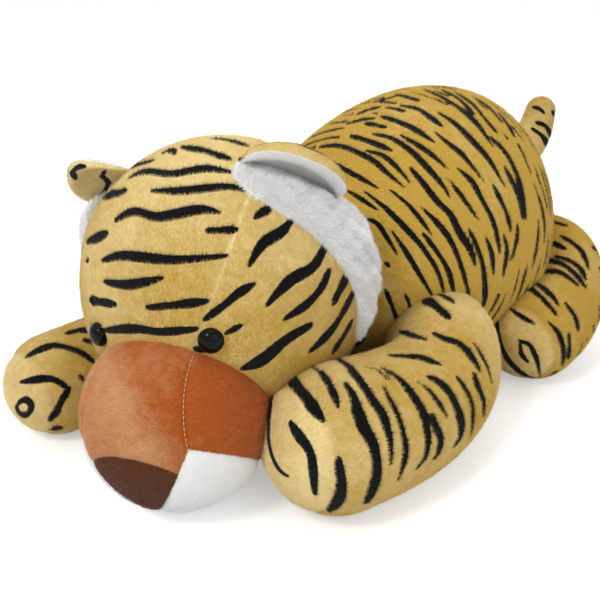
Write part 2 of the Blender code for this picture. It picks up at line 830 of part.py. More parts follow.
def make_ruff(frame, side, sign, cutters):
    outer = []
    inner = []
    for place, angle in enumerate(RUFF_ANGLES):
        upper = []
        lower = []
        for column in range(RUFF_COLUMNS + 1):
            share = column / RUFF_COLUMNS
            front = RUFF_FRONT_SHARES[place]
            back = RUFF_BACK_SHARES[place]
            reach = (front + (back - front) * share) * HEAD_RADIUS
            swell = math.sin(math.pi * (RUFF_RIM_SHARE + RUFF_SWELL_SHARE * share))
            upper.append(frame.on_ball(reach, sign * angle, RUFF_THICKNESS * swell))
            lower.append(frame.on_ball(reach, sign * angle, -FABRIC))
        outer.append(upper)
        inner.append(lower)
    ruff = grid_form(f"cheek_ruff_{side}", outer, inner, plush("white_plush", WHITE))
    cut_away(ruff, cutters)
    return ruff


# Legs


def leg_spine(sign, root_shares, spine_shares, reach, paw):
    """The leg's middle line, from its root in the torso down to the paw that rests on the floor."""
    root = torso_place(sign, root_shares)
    drop = root.z - paw + REST_DEPTH
    return [
        root + Vector((sign * aside * reach, behind * reach, -down * drop))
        for aside, behind, down in spine_shares
    ]


def leg_radii(count, thick, paw):
    """Radii that swell from the root over the joint and again at the paw."""
    widths = [thick + (paw - thick) * step / (count - 1) for step in range(count)]
    widths[0] *= LEG_ROOT_SHARE
    return widths


def leg_form(name, spine, radii, grow, look=None):
    rings, first, last = tube_rings(spine, radii, LEG_SIDES, LEG_STEPS, grow)
    return ring_form(name, rings, first, last, look), last


def make_leg(name, spine, radii, floor, cutters):
    striped = plush("striped_plush", GOLD)
    skin, tip = leg_form(f"{name}_skin", spine, radii, 0.0, striped)
    hollow, _ = leg_form("leg_hollow", spine, radii, -FABRIC)
    combine(skin, hollow, "DIFFERENCE")
    stuffing, _ = leg_form(
        f"{name}_stuffing", spine, radii, -FABRIC - STUFFING_GAP, material("fibre", FIBRE, 1.0)
    )
    combine(skin, floor, "DIFFERENCE")
    outward = (tip - spine[-1]).normalized()
    seam = spine[-1] + outward * radii[-1] * SOLE_SHARE
    gap = outward * 0.5 * CLEARANCE
    size = BLOCK_SHARE * TORSO_LENGTH
    sole_cell = half_space_cell("sole_cell", [(seam - gap, -outward)], seam, size)
    leg_cell = half_space_cell("leg_cell", [(seam + gap, outward)], seam, size)
    sole = copy_of(skin, f"{name}_sole")
    combine(sole, leg_cell, "DIFFERENCE")
    combine(skin, sole_cell, "DIFFERENCE")
    for cutter in (sole_cell, leg_cell, hollow):
        remove(cutter)
    for item in (skin, sole, stuffing):
        cut_away(item, cutters)
    return skin, sole, stuffing


# Tail


def tail_spine():
    root = torso_place(1.0, TAIL_ROOT_SHARES)
    return [root + Vector(shares) * TAIL_LENGTH for shares in TAIL_SPINE_SHARES]


def make_tail(cutters):
    spine = tail_spine()
    radii = [TAIL_RADIUS, TAIL_RADIUS, TAIL_RADIUS, TAIL_TIP_RADIUS]
    striped = plush("striped_plush", GOLD)
    rings, first, last = tube_rings(spine, radii, TAIL_SIDES, LEG_STEPS, 0.0)
    skin = ring_form("tail_skin", rings, first, last, striped)
    rings, first, last = tube_rings(spine, radii, TAIL_SIDES, LEG_STEPS, -FABRIC)
    hollow = ring_form("tail_hollow", rings, first, last)
    combine(skin, hollow, "DIFFERENCE")
    rings, first, last = tube_rings(spine, radii, TAIL_SIDES, LEG_STEPS, -FABRIC - STUFFING_GAP)
    stuffing = ring_form("tail_stuffing", rings, first, last, material("fibre", FIBRE, 1.0))
    remove(hollow)
    for item in (skin, stuffing):
        cut_away(item, cutters)
    return skin, stuffing


def pivot_empty(name, place):
    made = bpy.data.objects.new(name, None)
    made.location = place
    bpy.context.scene.collection.objects.link(made)
    return made


def hang(parent, items):
    """Parent pieces to their pivot without moving them."""
    shift = Matrix.Translation(-parent.location)
    for item in items:
        item.data.transform(shift)
        item.parent = parent
        smooth(item)


def swept(form, pivot, axis, swing, name):
    """What a fixed form sweeps past a piece that turns about pivot, as copies turned the other way."""
    return [turned(form, pivot, axis, -swing * share, name) for share in SWEEP_SHARES]


def main():
    clear_scene()
    frame = HeadFrame()
    floor = floor_block()
    torso_skin, torso_stuffing = make_torso(floor)
    for item in (torso_skin, torso_stuffing):
        smooth(item)
    torso_grown = torso_form("torso_grown", CLEARANCE)
    head_grown = head_form("head_grown", frame, CLEARANCE)
    nod = Vector((-1.0, 0.0, 0.0))
    neck = neck_middle()
    torso_poses = swept(torso_grown, neck, nod, NECK_NOD, "torso_pose")
    head_poses = swept(head_grown, neck, nod, -NECK_NOD, "head_pose")
    socket = neck_socket()
    helpers = [floor, socket, torso_grown, head_grown] + torso_poses + head_poses
    head = make_head(frame, floor, socket)
    head_items = list(head.values())
    up = Vector((0.0, 0.0, 1.0))
    front_legs = {
        "left": (LEFT_ROOT_SHARES, LEFT_SPINE_SHARES, LEFT_LEG_REACH, LEFT_PAW_RADIUS),
        "right": (RIGHT_ROOT_SHARES, RIGHT_SPINE_SHARES, RIGHT_LEG_REACH, RIGHT_PAW_RADIUS),
    }
    for side, sign in (("left", 1.0), ("right", -1.0)):
        spine = leg_spine(sign, *front_legs[side])
        radii = leg_radii(len(spine), FRONT_LEG_RADIUS, front_legs[side][-1])
        place = torso_place(sign, FRONT_PIVOT_SHARES)
        cutters = swept(torso_grown, place, up, sign * FRONT_SWING, "torso_past_leg")
        pieces = make_leg(f"front_leg_{side}", spine, radii, floor, cutters + head_poses)
        hang(pivot_empty(f"front_leg_pivot_{side}", place), pieces)
        leg_grown, _ = leg_form("leg_grown", spine, radii, CLEARANCE)
        leg_poses = swept(leg_grown, neck, nod, NECK_NOD, "leg_pose")
        helpers += cutters + leg_poses + [leg_grown]

        spine = leg_spine(sign, HIND_ROOT_SHARES, HIND_SPINE_SHARES, HIND_LEG_REACH, HIND_PAW_RADIUS)
        radii = leg_radii(len(spine), HIND_LEG_RADIUS, HIND_PAW_RADIUS)
        place = torso_place(sign, HIND_PIVOT_SHARES)
        cutters = swept(torso_grown, place, up, sign * HIND_SWING, "torso_past_leg")
        pieces = make_leg(f"hind_leg_{side}", spine, radii, floor, cutters)
        hang(pivot_empty(f"hind_leg_pivot_{side}", place), pieces)
        helpers += cutters

        eye, washer = make_eye(frame, side, sign, head)
        lining, back = make_ear(frame, side, sign, head_grown)
        pivot, axis = ear_hinge(frame, sign)
        ruff = make_ruff(frame, side, sign, [head_grown] + torso_poses + leg_poses)
        head_items += [eye, washer, ruff]
        hang(pivot_empty(f"ear_pivot_{side}", pivot), [lining, back])
    hang(pivot_empty("neck_pivot", neck), head_items)
    place = torso_place(1.0, TAIL_PIVOT_SHARES)
    cutters = swept(torso_grown, place, nod, TAIL_SWING, "torso_past_tail")
    hang(pivot_empty("tail_pivot", place), make_tail(cutters))
    for helper in helpers + cutters:
        remove(helper)


main()
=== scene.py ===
"""Looks of a large plush tiger lying on its belly: sewn plush panels with printed stripes, fluffy cheek
ruffs, glossy eyes, and the stage it is shown on. Metres, +Z up; the tiger faces -Y, its left side is +X."""

import math
import random
from typing import NamedTuple

import bmesh
import bpy
import numpy as np
from bpy.props import FloatProperty, FloatVectorProperty, PointerProperty
from mathutils import Euler, Matrix, Vector
from mathutils.bvhtree import BVHTree
from mathutils.kdtree import KDTree


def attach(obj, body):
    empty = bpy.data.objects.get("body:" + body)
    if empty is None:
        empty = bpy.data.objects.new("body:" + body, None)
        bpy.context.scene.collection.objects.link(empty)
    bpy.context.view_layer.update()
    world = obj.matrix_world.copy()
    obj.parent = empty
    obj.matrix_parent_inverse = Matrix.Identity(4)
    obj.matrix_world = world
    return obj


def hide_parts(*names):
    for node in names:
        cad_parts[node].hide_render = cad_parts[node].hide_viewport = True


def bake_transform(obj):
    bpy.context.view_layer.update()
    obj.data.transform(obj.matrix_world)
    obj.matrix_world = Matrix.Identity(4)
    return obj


bl_info = {
    "name": "Plush tiger looks",
    "version": (1, 0, 0),
    "blender": (4, 5, 0),
    "location": "View3D > Sidebar > Plush Tiger",
    "description": "Makes the plush panels, stripes, pile, eyes and stage of a lying plush tiger",
    "category": "Object",
}

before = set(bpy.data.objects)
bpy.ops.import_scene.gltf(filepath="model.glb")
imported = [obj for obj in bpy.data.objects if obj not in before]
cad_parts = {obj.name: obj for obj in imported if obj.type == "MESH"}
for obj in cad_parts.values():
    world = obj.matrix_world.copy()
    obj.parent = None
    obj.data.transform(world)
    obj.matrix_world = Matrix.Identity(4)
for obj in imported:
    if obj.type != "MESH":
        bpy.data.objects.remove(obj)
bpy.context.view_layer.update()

# Camera, set to the photograph's view

CAMERA_PLACE = Vector((0.5854, -0.6802, 0.463))
CAMERA_TURN = Euler((math.radians(65.0), 0.0, math.radians(50.0)))
CAMERA_LENS = 50.0
SENSOR_WIDTH = 36.0
PHOTO_WIDTH = 600.0

SIDES = (("left", 1.0), ("right", -1.0))

# Torso, as shares of its length, half width and height

NECK_MIDDLE = Vector((0.0, -0.142, 0.150))
NECK_RADIUS = 0.092
NECK_ARC = 72.0
REST_DEPTH = 0.0005
TORSO_LENGTH = 0.284
TORSO_HALF_WIDTH = 0.137
TORSO_HEIGHT = 0.296
TORSO_END_SHARE = 0.427
TORSO_SHARES = (
    # along, half width, underside, top
    (-0.06, 0.715, 0.137, 0.830),
    (0.00, 0.800, 0.085, 0.875),
    (0.10, 0.890, 0.034, 0.925),
    (0.26, 0.965, 0.000, 0.975),
    (0.44, 1.000, 0.000, 1.000),
    (0.62, 0.965, 0.000, 0.980),
    (0.76, 0.815, 0.014, 0.915),
    (0.86, 0.655, 0.061, 0.820),
    (0.933, 0.467, 0.154, 0.700),
    (0.98, 0.263, 0.266, 0.580),
)

# Head and muzzle

HEAD_MIDDLE = Vector((0.004, -0.282, 0.155))
HEAD_RADIUS = 0.131
HEAD_TURN = 32.0
HEAD_DIP = 34.0
HEAD_TILT = 11.0
FOREHEAD_HALF_ANGLE = 33.0
MUZZLE_RADIUS = 0.080
MUZZLE_REACH = 0.135
MUZZLE_SEAM_SPREAD = 7.5
NOSE_SEAM_REACH = 0.197
NOSE_TIP_DROP = 0.022
NOSE_TAPER = 39.0
CHIN_SEAM_REACH = 0.166
CHIN_SEAM_SLOPE = 19.0

# The head's right side is pressed a little flat, from this far aside and forwards

TEMPLE_EDGE = 0.055
TEMPLE_REACH = 0.045
TEMPLE_FLATNESS = 0.055

# Ears

EAR_FRONT_REACH = -0.039
EAR_FRONT_ANGLE = 25.7
EAR_BACK_REACH = -0.052
EAR_BACK_ANGLE = 65.3
EAR_FOOT_BOW = 0.002
EAR_HEIGHT = 0.048
EAR_FRONT_DROOP = 41.6
EAR_BACK_DROOP = 59.3
EAR_LEAN_FORWARD = 15.3
EAR_CUP = 0.006

# Cheek ruffs

RUFF_THICKNESS = 0.010
RUFF_ANGLES = (26.0, 36.0, 48.0, 60.0, 70.0, 80.0, 89.0, 97.0, 105.0, 112.0)
RUFF_FRONT_SHARES = (-0.17, -0.07, -0.04, -0.02, 0.01, 0.04, 0.08, 0.13, 0.20, 0.20)
RUFF_BACK_SHARES = (-0.29, -0.31, -0.34, -0.38, -0.44, -0.47, -0.48, -0.40, -0.24, 0.02)

# The far ruff, behind the turned ear, starts lower down and is thicker at its start

TURNED_RUFF_START = 0.27
TURNED_RUFF_THICKNESS = 0.025
RUFF_THINNING = 0.55
RUFF_LUMPS = 0.0027
RUFF_LUMP_SIZE = 0.016
RUFF_SINK = 0.001
RUFF_COLUMNS = 26
RUFF_ROWS = 120

# Eyes

EYE_RADIUS = 0.0105
EYE_BULGE_SHARE = 0.75
EYE_REACH = 0.099
EYE_ANGLE = 39.0
EYE_STAND = 0.0003
EYE_SKIRT = -20.0
EYE_RINGS = 20
EYE_SIDES = 48

# Legs and tail

FRONT_LEG_RADIUS = 0.050
LEFT_PAW_RADIUS = 0.0635
RIGHT_PAW_RADIUS = 0.049
HIND_LEG_RADIUS = 0.050
HIND_PAW_RADIUS = 0.054
LEG_ROOT_SHARE = 0.76
SOLE_SHARE = 0.55
SOLE_SEAM_DEPTH = 0.0024
SOLE_SEAM_WIDTH = 0.0032
TAIL_RADIUS = 0.020
TAIL_TIP_RADIUS = 0.017
TAIL_SIDES = 48
FRONT_LEFT_SPINE = (
    (0.088, -0.093, 0.095),
    (0.122, -0.114, 0.084),
    (0.146, -0.141, 0.067),
    (0.157, -0.180, 0.059),
    (0.162, -0.230, 0.061),
    (0.156, -0.281, LEFT_PAW_RADIUS - REST_DEPTH),
)
FRONT_RIGHT_SPINE = (
    (-0.070, -0.112, 0.110),
    (-0.098, -0.160, 0.086),
    (-0.110, -0.230, 0.060),
    (-0.110, -0.300, 0.051),
    (-0.107, -0.360, 0.049),
    (-0.102, -0.411, RIGHT_PAW_RADIUS - REST_DEPTH),
)
HIND_SPINE = (
    (0.045, 0.102, 0.110),
    (0.083, 0.113, 0.098),
    (0.108, 0.101, 0.076),
    (0.124, 0.066, 0.060),
    (0.129, 0.030, HIND_PAW_RADIUS - REST_DEPTH),
)
TAIL_SPINE = (
    (0.004, 0.110, 0.176),
    (0.005, 0.148, 0.197),
    (0.004, 0.174, 0.220),
    (0.001, 0.188, 0.245),
)

# Where the left front leg's pile stands up in tufts, so that its stripes have ragged edges

TUFTED_PLACE = Vector((0.172, -0.262, 0.115))
TUFTED_REACH = 0.035

# Stripes seen in the photograph, each as its width and the points along it, in pixels of the photograph

HEAD_STRIPES = (
    (7, 126, 169, 153, 161),
    (6, 163, 154, 170, 150, 175, 155),
    (8, 181, 147, 207, 152, 230, 160),
    (7, 212, 139, 230, 141, 248, 147),
    (8, 129, 178, 145, 172, 172, 174, 205, 169, 233, 173),
    (8, 151, 191, 182, 191, 226, 187, 244, 191),
    (8, 103, 197, 126, 192),
    (10, 116, 220, 134, 212, 159, 217, 199, 210, 220, 213),
    (8, 206, 231, 238, 230),
    (8, 87, 242, 108, 234),
    (10, 102, 261, 124, 256, 172, 260, 228, 256),
    (5, 86, 261, 89, 261),
    (10, 104, 282, 130, 285, 163, 278),
    (9, 146, 308, 178, 305, 209, 301),
    (8, 90, 300, 99, 302, 117, 305),
    (9, 104, 331, 134, 329, 163, 332, 198, 329),
    (9, 255, 218, 270, 208),
    (11, 249, 266, 262, 245, 281, 232, 293, 219),
    (9, 204, 320, 222, 307, 239, 293, 255, 284),
    (11, 266, 306, 290, 281, 313, 267, 325, 246),
    (8, 283, 320, 306, 305, 321, 288, 329, 270),
    (8, 333, 304, 340, 289, 348, 275),
    (8, 309, 352, 330, 332, 344, 310, 354, 291),
    (8, 332, 353, 341, 340, 352, 321),
    (11, 242, 369, 262, 360, 286, 340, 311, 325),
    (6, 225, 334, 242, 325),
    (6, 194, 348, 200, 350, 207, 351),
)
LEFT_LEG_CROP = (240.0, 330.0, 6.03)
LEFT_LEG_STRIPES = (
    (26, 300, 262, 240, 290, 200, 350, 182, 470, 172, 600, 178, 700, 205, 790, 245, 850, 290, 880),
    (62, 270, 260, 330, 330, 390, 400, 440, 470, 500, 550),
    (50, 300, 555, 340, 620, 400, 700, 430, 770, 440, 860, 450, 990),
    (58, 590, 770, 600, 850, 610, 920, 590, 1020, 530, 1090),
    (40, 480, 250, 530, 320, 560, 380, 590, 470),
    (15, 300, 200, 380, 215, 440, 230, 480, 260),
    (58, 630, 320, 680, 400, 710, 500, 750, 600, 800, 690, 820, 790, 820, 880, 790, 980, 760, 1040),
    (44, 560, 170, 640, 210, 690, 270, 750, 350, 800, 430, 850, 500, 880, 580, 905, 680, 905, 810),
    (30, 860, 340, 900, 420, 950, 520, 980, 620, 995, 720, 980, 820, 950, 910),
    (14, 740, 220, 830, 250, 880, 290, 930, 350),
    (38, 850, 230, 940, 280, 1000, 340, 1050, 410, 1100, 500, 1125, 600, 1130, 690, 1110, 770, 1060, 840),
    (34, 1155, 500, 1180, 580, 1205, 660, 1190, 740, 1160, 780),
    (22, 1060, 310, 1130, 360, 1180, 420, 1220, 480, 1255, 540),
    (44, 1130, 285, 1200, 320, 1260, 380, 1300, 460, 1330, 560, 1325, 640, 1280, 710),
    (28, 1300, 280, 1350, 350, 1390, 430, 1400, 520, 1390, 640),
    (32, 1405, 260, 1430, 340, 1465, 430, 1465, 520),
    (36, 895, 155, 980, 160, 1070, 165, 1140, 185, 1210, 210),
    (28, 960, 10, 1030, 35, 1120, 62),
    (34, 1165, 20, 1230, 55, 1300, 75, 1360, 120, 1410, 190, 1445, 250),
    (18, 1405, 75, 1450, 150, 1490, 230, 1515, 330),
    (40, 1100, -190, 1180, -140, 1260, -70),
    (24, 1120, -230, 1220, -205, 1290, -160),
)
TORSO_CROP = (320.0, 80.0, 4.612)
TORSO_STRIPES = (
    (20, 240, 105, 300, 90, 350, 75),
    (20, 350, 68, 400, 80, 460, 98),
    (22, 170, 160, 220, 140, 275, 125),
    (22, 370, 118, 450, 135, 510, 175, 570, 220),
    (24, 280, 168, 350, 190, 430, 225, 530, 290),
    (20, 120, 205, 190, 185, 255, 178),
    (20, 205, 200, 250, 208, 305, 220),
    (24, 0, 310, 75, 303, 150, 325, 240, 370, 310, 430, 390, 497),
    (24, 140, 258, 230, 285, 335, 328),
    (26, 245, 250, 330, 270, 420, 330, 490, 400, 560, 480, 600, 545),
    (22, 365, 252, 450, 300, 520, 350, 590, 412),
    (22, 525, 238, 600, 300, 660, 350, 755, 468),
    (24, 540, 150, 620, 200, 700, 280, 780, 370, 850, 490),
    (22, 480, 45, 560, 80, 640, 130, 720, 200, 800, 310),
    (18, 560, 45, 640, 90, 715, 165),
    (18, 620, 55, 700, 110, 760, 180, 820, 250),
    (22, 0, 360, 80, 395, 180, 450, 270, 500),
    (22, 210, 325, 290, 350, 350, 400, 415, 475),
    (32, 415, 405, 470, 470, 540, 560, 600, 620, 640, 700, 690, 780, 715, 855),
    (20, 585, 450, 640, 520, 690, 590, 730, 645),
    (24, 630, 405, 700, 470, 750, 560, 800, 660, 830, 800),
    (22, 780, 260, 850, 330, 900, 420, 930, 520, 950, 650),
    (20, 845, 395, 890, 480, 920, 560, 935, 640),
    (20, 790, 475, 830, 550, 860, 620, 880, 700),
    (26, 205, 515, 300, 590, 400, 690, 470, 770, 540, 880, 570, 980),
    (20, 320, 505, 400, 570, 460, 640, 520, 720),
    (26, 465, 585, 540, 660, 600, 740, 650, 860, 690, 1010),
    (24, 330, 695, 400, 800, 460, 900, 520, 1000),
    (24, 470, 705, 530, 780, 590, 880, 620, 1000),
    (20, 125, 510, 190, 550, 265, 600),
    (22, 190, 635, 260, 660, 310, 730, 355, 805),
    (22, 300, 965, 330, 1040, 365, 1135),
    (18, 390, 985, 410, 1030, 415, 1070),
    (18, 300, 840, 320, 860),
    (26, 320, 1160, 305, 1240, 200, 1310),
    (20, 205, 1180, 165, 1225),
    (18, 820, 150, 860, 200, 900, 270),
    (18, 700, 75, 780, 130, 840, 200),
    (18, 910, 660, 905, 740, 880, 830),
    (22, 680, 680, 720, 760, 750, 860, 760, 1000, 740, 1060),
    (20, 760, 715, 790, 800, 800, 900),
    (18, 845, 710, 860, 790, 840, 920),
)
HIND_CROP = (470.0, 80.0, 4.9)
HIND_STRIPES = (
    (20, 335, 665, 400, 695, 475, 715),
    (22, 315, 775, 390, 795, 470, 830),
    (22, 295, 890, 390, 890, 460, 910, 520, 960, 565, 1020),
    (20, 440, 765, 500, 800, 550, 850, 580, 930),
    (20, 415, 865, 490, 890, 540, 930, 565, 980),
    (22, 300, 955, 380, 940, 450, 950, 530, 1010),
    (22, 180, 1010, 260, 1010, 340, 1060, 425, 1155),
    (20, 215, 985, 320, 1000, 390, 1050, 435, 1110),
    (20, 465, 1095, 510, 1160, 530, 1230),
    (20, 195, 1120, 250, 1160, 320, 1200),
    (20, 380, 1185, 430, 1240, 455, 1320, 450, 1400),
    (20, 235, 1275, 290, 1300, 325, 1370, 340, 1450),
    (18, 245, 1280, 250, 1340, 285, 1385),
    (20, 130, 1145, 140, 1250, 180, 1360, 260, 1440, 330, 1458),
    (16, 480, 1240, 485, 1300, 480, 1370),
)
TAIL_STRIPES = (
    (16, 305, 130, 340, 140, 365, 162),
    (16, 400, 155, 430, 180),
    (18, 320, 205, 370, 225, 400, 280),
    (18, 300, 235, 350, 270, 385, 325),
    (14, 255, 260, 280, 270),
    (18, 235, 280, 280, 315, 300, 350, 305, 410),
)
EAR_STRIPES = (
    (5, 106, 169, 103, 176, 108, 182, 105, 191, 97, 201, 93, 201),
    (5, 86, 166, 77, 168, 73, 173, 76, 180),
)
RIGHT_PAW_CROP = (0.0, 320.0, 11.2)
RIGHT_PAW_STRIPES = (
    (70, 220, 700, 400, 670, 560, 660, 680, 710, 760, 770),
    (70, 780, 760, 700, 880, 640, 1000, 550, 1130),
    (60, 290, 420, 430, 340, 600, 290, 800, 330, 950, 400, 1050, 480),
    (60, 740, 155, 880, 120, 1060, 120),
    (50, 930, 225, 1060, 270, 1160, 340),
    (40, 885, 620, 930, 680),
    (60, 190, 960, 230, 910, 300, 900, 345, 960, 320, 1040, 250, 1060, 200, 1020, 190, 960),
    (50, 560, 1225, 680, 1195),
)


# Settings that a user would change


def colour_setting(name, description, default):
    return FloatVectorProperty(
        name=name, description=description, subtype="COLOR", size=3, min=0.0, max=1.0, default=default
    )


def length_setting(name, description, default, least=0.0):
    return FloatProperty(
        name=name, description=description, subtype="DISTANCE", unit="LENGTH", min=least, default=default
    )


class PlushSettings(bpy.types.PropertyGroup):
    gold: colour_setting("Gold", "Ground colour of the striped plush", (0.605, 0.388, 0.066))
    pale_gold: colour_setting(
        "Pale gold", "Striped plush where the nap lies towards the light", (0.92, 0.768, 0.39)
    )
    stripe: colour_setting("Stripe", "Printed stripes", (0.006, 0.006, 0.007))
    white: colour_setting("White", "Chin, ear linings and ruffs", (0.96, 0.96, 0.95))
    rust: colour_setting("Rust", "Muzzle", (0.46, 0.108, 0.018))
    tan: colour_setting("Tan", "Muzzle where the nap lies towards the light", (0.66, 0.36, 0.165))
    brown: colour_setting("Brown", "Nose patch", (0.105, 0.034, 0.012))


class ShapeSettings(bpy.types.PropertyGroup):
    fineness: length_setting(
        "Fineness", "Distance between neighbouring points of the plush surfaces", 0.0022, 0.001
    )
    seam_depth: length_setting("Seam depth", "How deep the thread draws the plush in along a seam", 0.0022)
    seam_width: length_setting("Seam width", "How far from a seam the plush is drawn in", 0.004)
    pile_length: length_setting("Pile length", "Length of the short pile", 0.0028, 0.0005)
    ruff_length: length_setting(
        "Ruff pile length", "Length of the longer white pile on the cheek ruffs", 0.0052, 0.0005
    )


class StageSettings(bpy.types.PropertyGroup):
    floor_size: length_setting("Floor size", "Side of the pale floor", 12.0)


# Curves and surfaces


def smooth_values(values, shares):
    """Catmull-Rom curve through values (n, k), read at an array of shares from 0 to 1."""
    values = np.asarray(values, float)
    last = len(values) - 1
    place = np.clip(np.asarray(shares, float) * last, 0.0, last - 1e-9)
    start = place.astype(int)
    t = (place - start).reshape(-1, *([1] * (values.ndim - 1)))
    before = values[np.maximum(start - 1, 0)]
    here = values[start]
    after = values[start + 1]
    beyond = values[np.minimum(start + 2, last)]
    lead = (after - before) * 0.5
    trail = (beyond - here) * 0.5
    return (
        here * (2 * t**3 - 3 * t**2 + 1)
        + lead * (t**3 - 2 * t**2 + t)
        + after * (3 * t**2 - 2 * t**3)
        + trail * (t**3 - t**2)
    )


def lofted(name, rings, first_pole, last_pole):
    """A closed mesh object through rings (rows, sides, 3), with a point at each end."""
    rows, sides, _ = rings.shape
    points = np.vstack([rings.reshape(-1, 3), [first_pole], [last_pole]])
    faces = []
    for row in range(rows - 1):
        low = row * sides
        high = low + sides
        for side in range(sides):
            following = (side + 1) % sides
            faces.append((low + side, low + following, high + following, high + side))
    first = rows * sides
    top = (rows - 1) * sides
    for side in range(sides):
        following = (side + 1) % sides
        faces.append((first, following, side))
        faces.append((first + 1, top + side, top + following))
    return mesh_object(name, points, faces)


def linked(name, data):
    """A new object in the scene that holds this mesh, lamp or camera."""
    made = bpy.data.objects.new(name, data)
    bpy.context.scene.collection.objects.link(made)
    return made


def mesh_of(name, points, edges, faces):
    mesh = bpy.data.meshes.new(name)
    mesh.from_pydata([tuple(point) for point in points], edges, faces)
    return mesh


def mesh_object(name, points, faces):
    mesh = mesh_of(name, points, [], faces)
    made = linked(name, mesh)
    shape = bmesh.new()
    shape.from_mesh(mesh)
    bmesh.ops.recalc_face_normals(shape, faces=shape.faces)
    shape.to_mesh(mesh)
    shape.free()
    mesh.shade_smooth()
    return made


def points_of(item):
    points = np.empty(len(item.data.vertices) * 3)
    item.data.vertices.foreach_get("co", points)
    return points.reshape(-1, 3)


def normals_of(item):
    normals = np.empty(len(item.data.vertices) * 3)
    item.data.vertex_normals.foreach_get("vector", normals)
    return normals.reshape(-1, 3)


def put_points(item, points):
    item.data.vertices.foreach_set("co", np.asarray(points, np.float32).ravel())
    item.data.update()


def press_on_floor(item):
    """Flattens what reaches below the floor."""
    points = points_of(item)
    points[:, 2] = np.maximum(points[:, 2], 0.0)
    put_points(item, points)


def waves(points, scale, seed):
    """Smooth random values between about -1 and 1 over space: a few sine waves in seeded directions."""
    pick = np.random.default_rng(seed)
    total = np.zeros(len(points))
    for _ in range(7):
        way = pick.normal(size=3)
        way /= np.linalg.norm(way)
        length = scale * pick.uniform(0.7, 1.5)
        total += np.sin(points @ way * (2 * math.pi / length) + pick.uniform(0, 6.3))
    return total / 3.5


def fade(distance, width):
    """How strongly a seam or fold draws the plush in at a distance from it: 1 on it, 0 far away."""
    return np.exp(-((distance / width) ** 1.3))


def points_tree(points):
    """A tree that finds the nearest of these points, in the order in which they are given."""
    points = list(points)
    tree = KDTree(max(len(points), 1))
    for place, point in enumerate(points):
        tree.insert(point, place)
    tree.balance()
    return tree


# Head frame


class HeadFrame:
    """The head's own directions: along the muzzle, across to its left, and up through its crown."""

    def __init__(self):
        turn = math.radians(HEAD_TURN)
        dip = math.radians(HEAD_DIP)
        tilt = math.radians(HEAD_TILT)
        self.middle = HEAD_MIDDLE
        self.along = Vector(
            (math.sin(turn) * math.cos(dip), -math.cos(turn) * math.cos(dip), -math.sin(dip))
        )
        level = Vector((math.cos(turn), math.sin(turn), 0.0))
        upright = level.cross(self.along) * -1.0
        self.across = level * math.cos(tilt) + upright * math.sin(tilt)
        self.above = upright * math.cos(tilt) - level * math.sin(tilt)
        self.axes = np.array([self.along, self.across, self.above])

    def place(self, local):
        return np.asarray(local) @ self.axes + np.array(self.middle)

    def local(self, points):
        return (np.asarray(points) - np.array(self.middle)) @ self.axes.T

    def on_ball(self, reach, angle, lift):
        """The place on the round head at a reach along it and an angle from its crown, lifted off it."""
        turn = math.radians(angle)
        radius = math.sqrt(HEAD_RADIUS**2 - reach**2)
        local = np.array([reach, radius * math.sin(turn), radius * math.cos(turn)])
        return self.place(local * (1.0 + lift / HEAD_RADIUS))


HEAD = HeadFrame()
MUZZLE_SEAM = (HEAD_RADIUS**2 - MUZZLE_RADIUS**2 + MUZZLE_REACH**2) / (2.0 * MUZZLE_REACH)
MUZZLE_SEAM_RADIUS = math.sqrt(HEAD_RADIUS**2 - MUZZLE_SEAM**2)


# Camera rays


def pixel_ray(x, y):
    """Direction from the camera through a pixel of the photograph."""
    focal = CAMERA_LENS / SENSOR_WIDTH * PHOTO_WIDTH
    way = Vector((x - 0.5 * PHOTO_WIDTH, 0.5 * PHOTO_WIDTH - y, -focal)).normalized()
    return CAMERA_TURN.to_matrix() @ way


# Surfaces of each plush part


def make_torso_surface(fineness):
    """The torso: a round neck that the head sits on, and a body through the shares of the table."""
    neck = np.array(NECK_MIDDLE)
    sides = int(2 * math.pi * TORSO_HALF_WIDTH / fineness / 2) * 2
    turns = np.linspace(0, 2 * math.pi, sides, endpoint=False)
    rings = []
    arc = math.radians(NECK_ARC)
    ball_rings = int(arc * NECK_RADIUS / fineness)
    for ring in range(1, ball_rings):
        turn = arc * ring / ball_rings
        wide = NECK_RADIUS * math.sin(turn)
        centre = neck + [0.0, -NECK_RADIUS * math.cos(turn), 0.0]
        rings.append(centre + np.stack([wide * np.cos(turns), 0 * turns, wide * np.sin(turns)], 1))
    entry = (
        -NECK_RADIUS * math.cos(arc) / TORSO_LENGTH,
        NECK_RADIUS * math.sin(arc) / TORSO_HALF_WIDTH,
        (NECK_MIDDLE.z - NECK_RADIUS * math.sin(arc)) / TORSO_HEIGHT,
        (NECK_MIDDLE.z + NECK_RADIUS * math.sin(arc)) / TORSO_HEIGHT,
    )
    table = np.array([entry, *TORSO_SHARES])
    steps = int(TORSO_LENGTH * 1.25 / fineness)
    for along, half_width, underside, top in smooth_values(table, np.linspace(0, 1, steps)):
        low = underside * TORSO_HEIGHT - REST_DEPTH
        high = top * TORSO_HEIGHT
        wide = half_width * TORSO_HALF_WIDTH
        centre = np.array([0.0, neck[1] + along * TORSO_LENGTH, 0.5 * (low + high)])
        rings.append(
            centre
            + np.stack([wide * np.cos(turns), 0 * turns, 0.5 * (high - low) * np.sin(turns)], 1)
        )
    front = neck + [0.0, -NECK_RADIUS, 0.0]
    rear = [0.0, neck[1] + TORSO_LENGTH, TORSO_END_SHARE * TORSO_HEIGHT]
    made = lofted("torso_plush", np.array(rings), front, rear)
    press_on_floor(made)
    return made


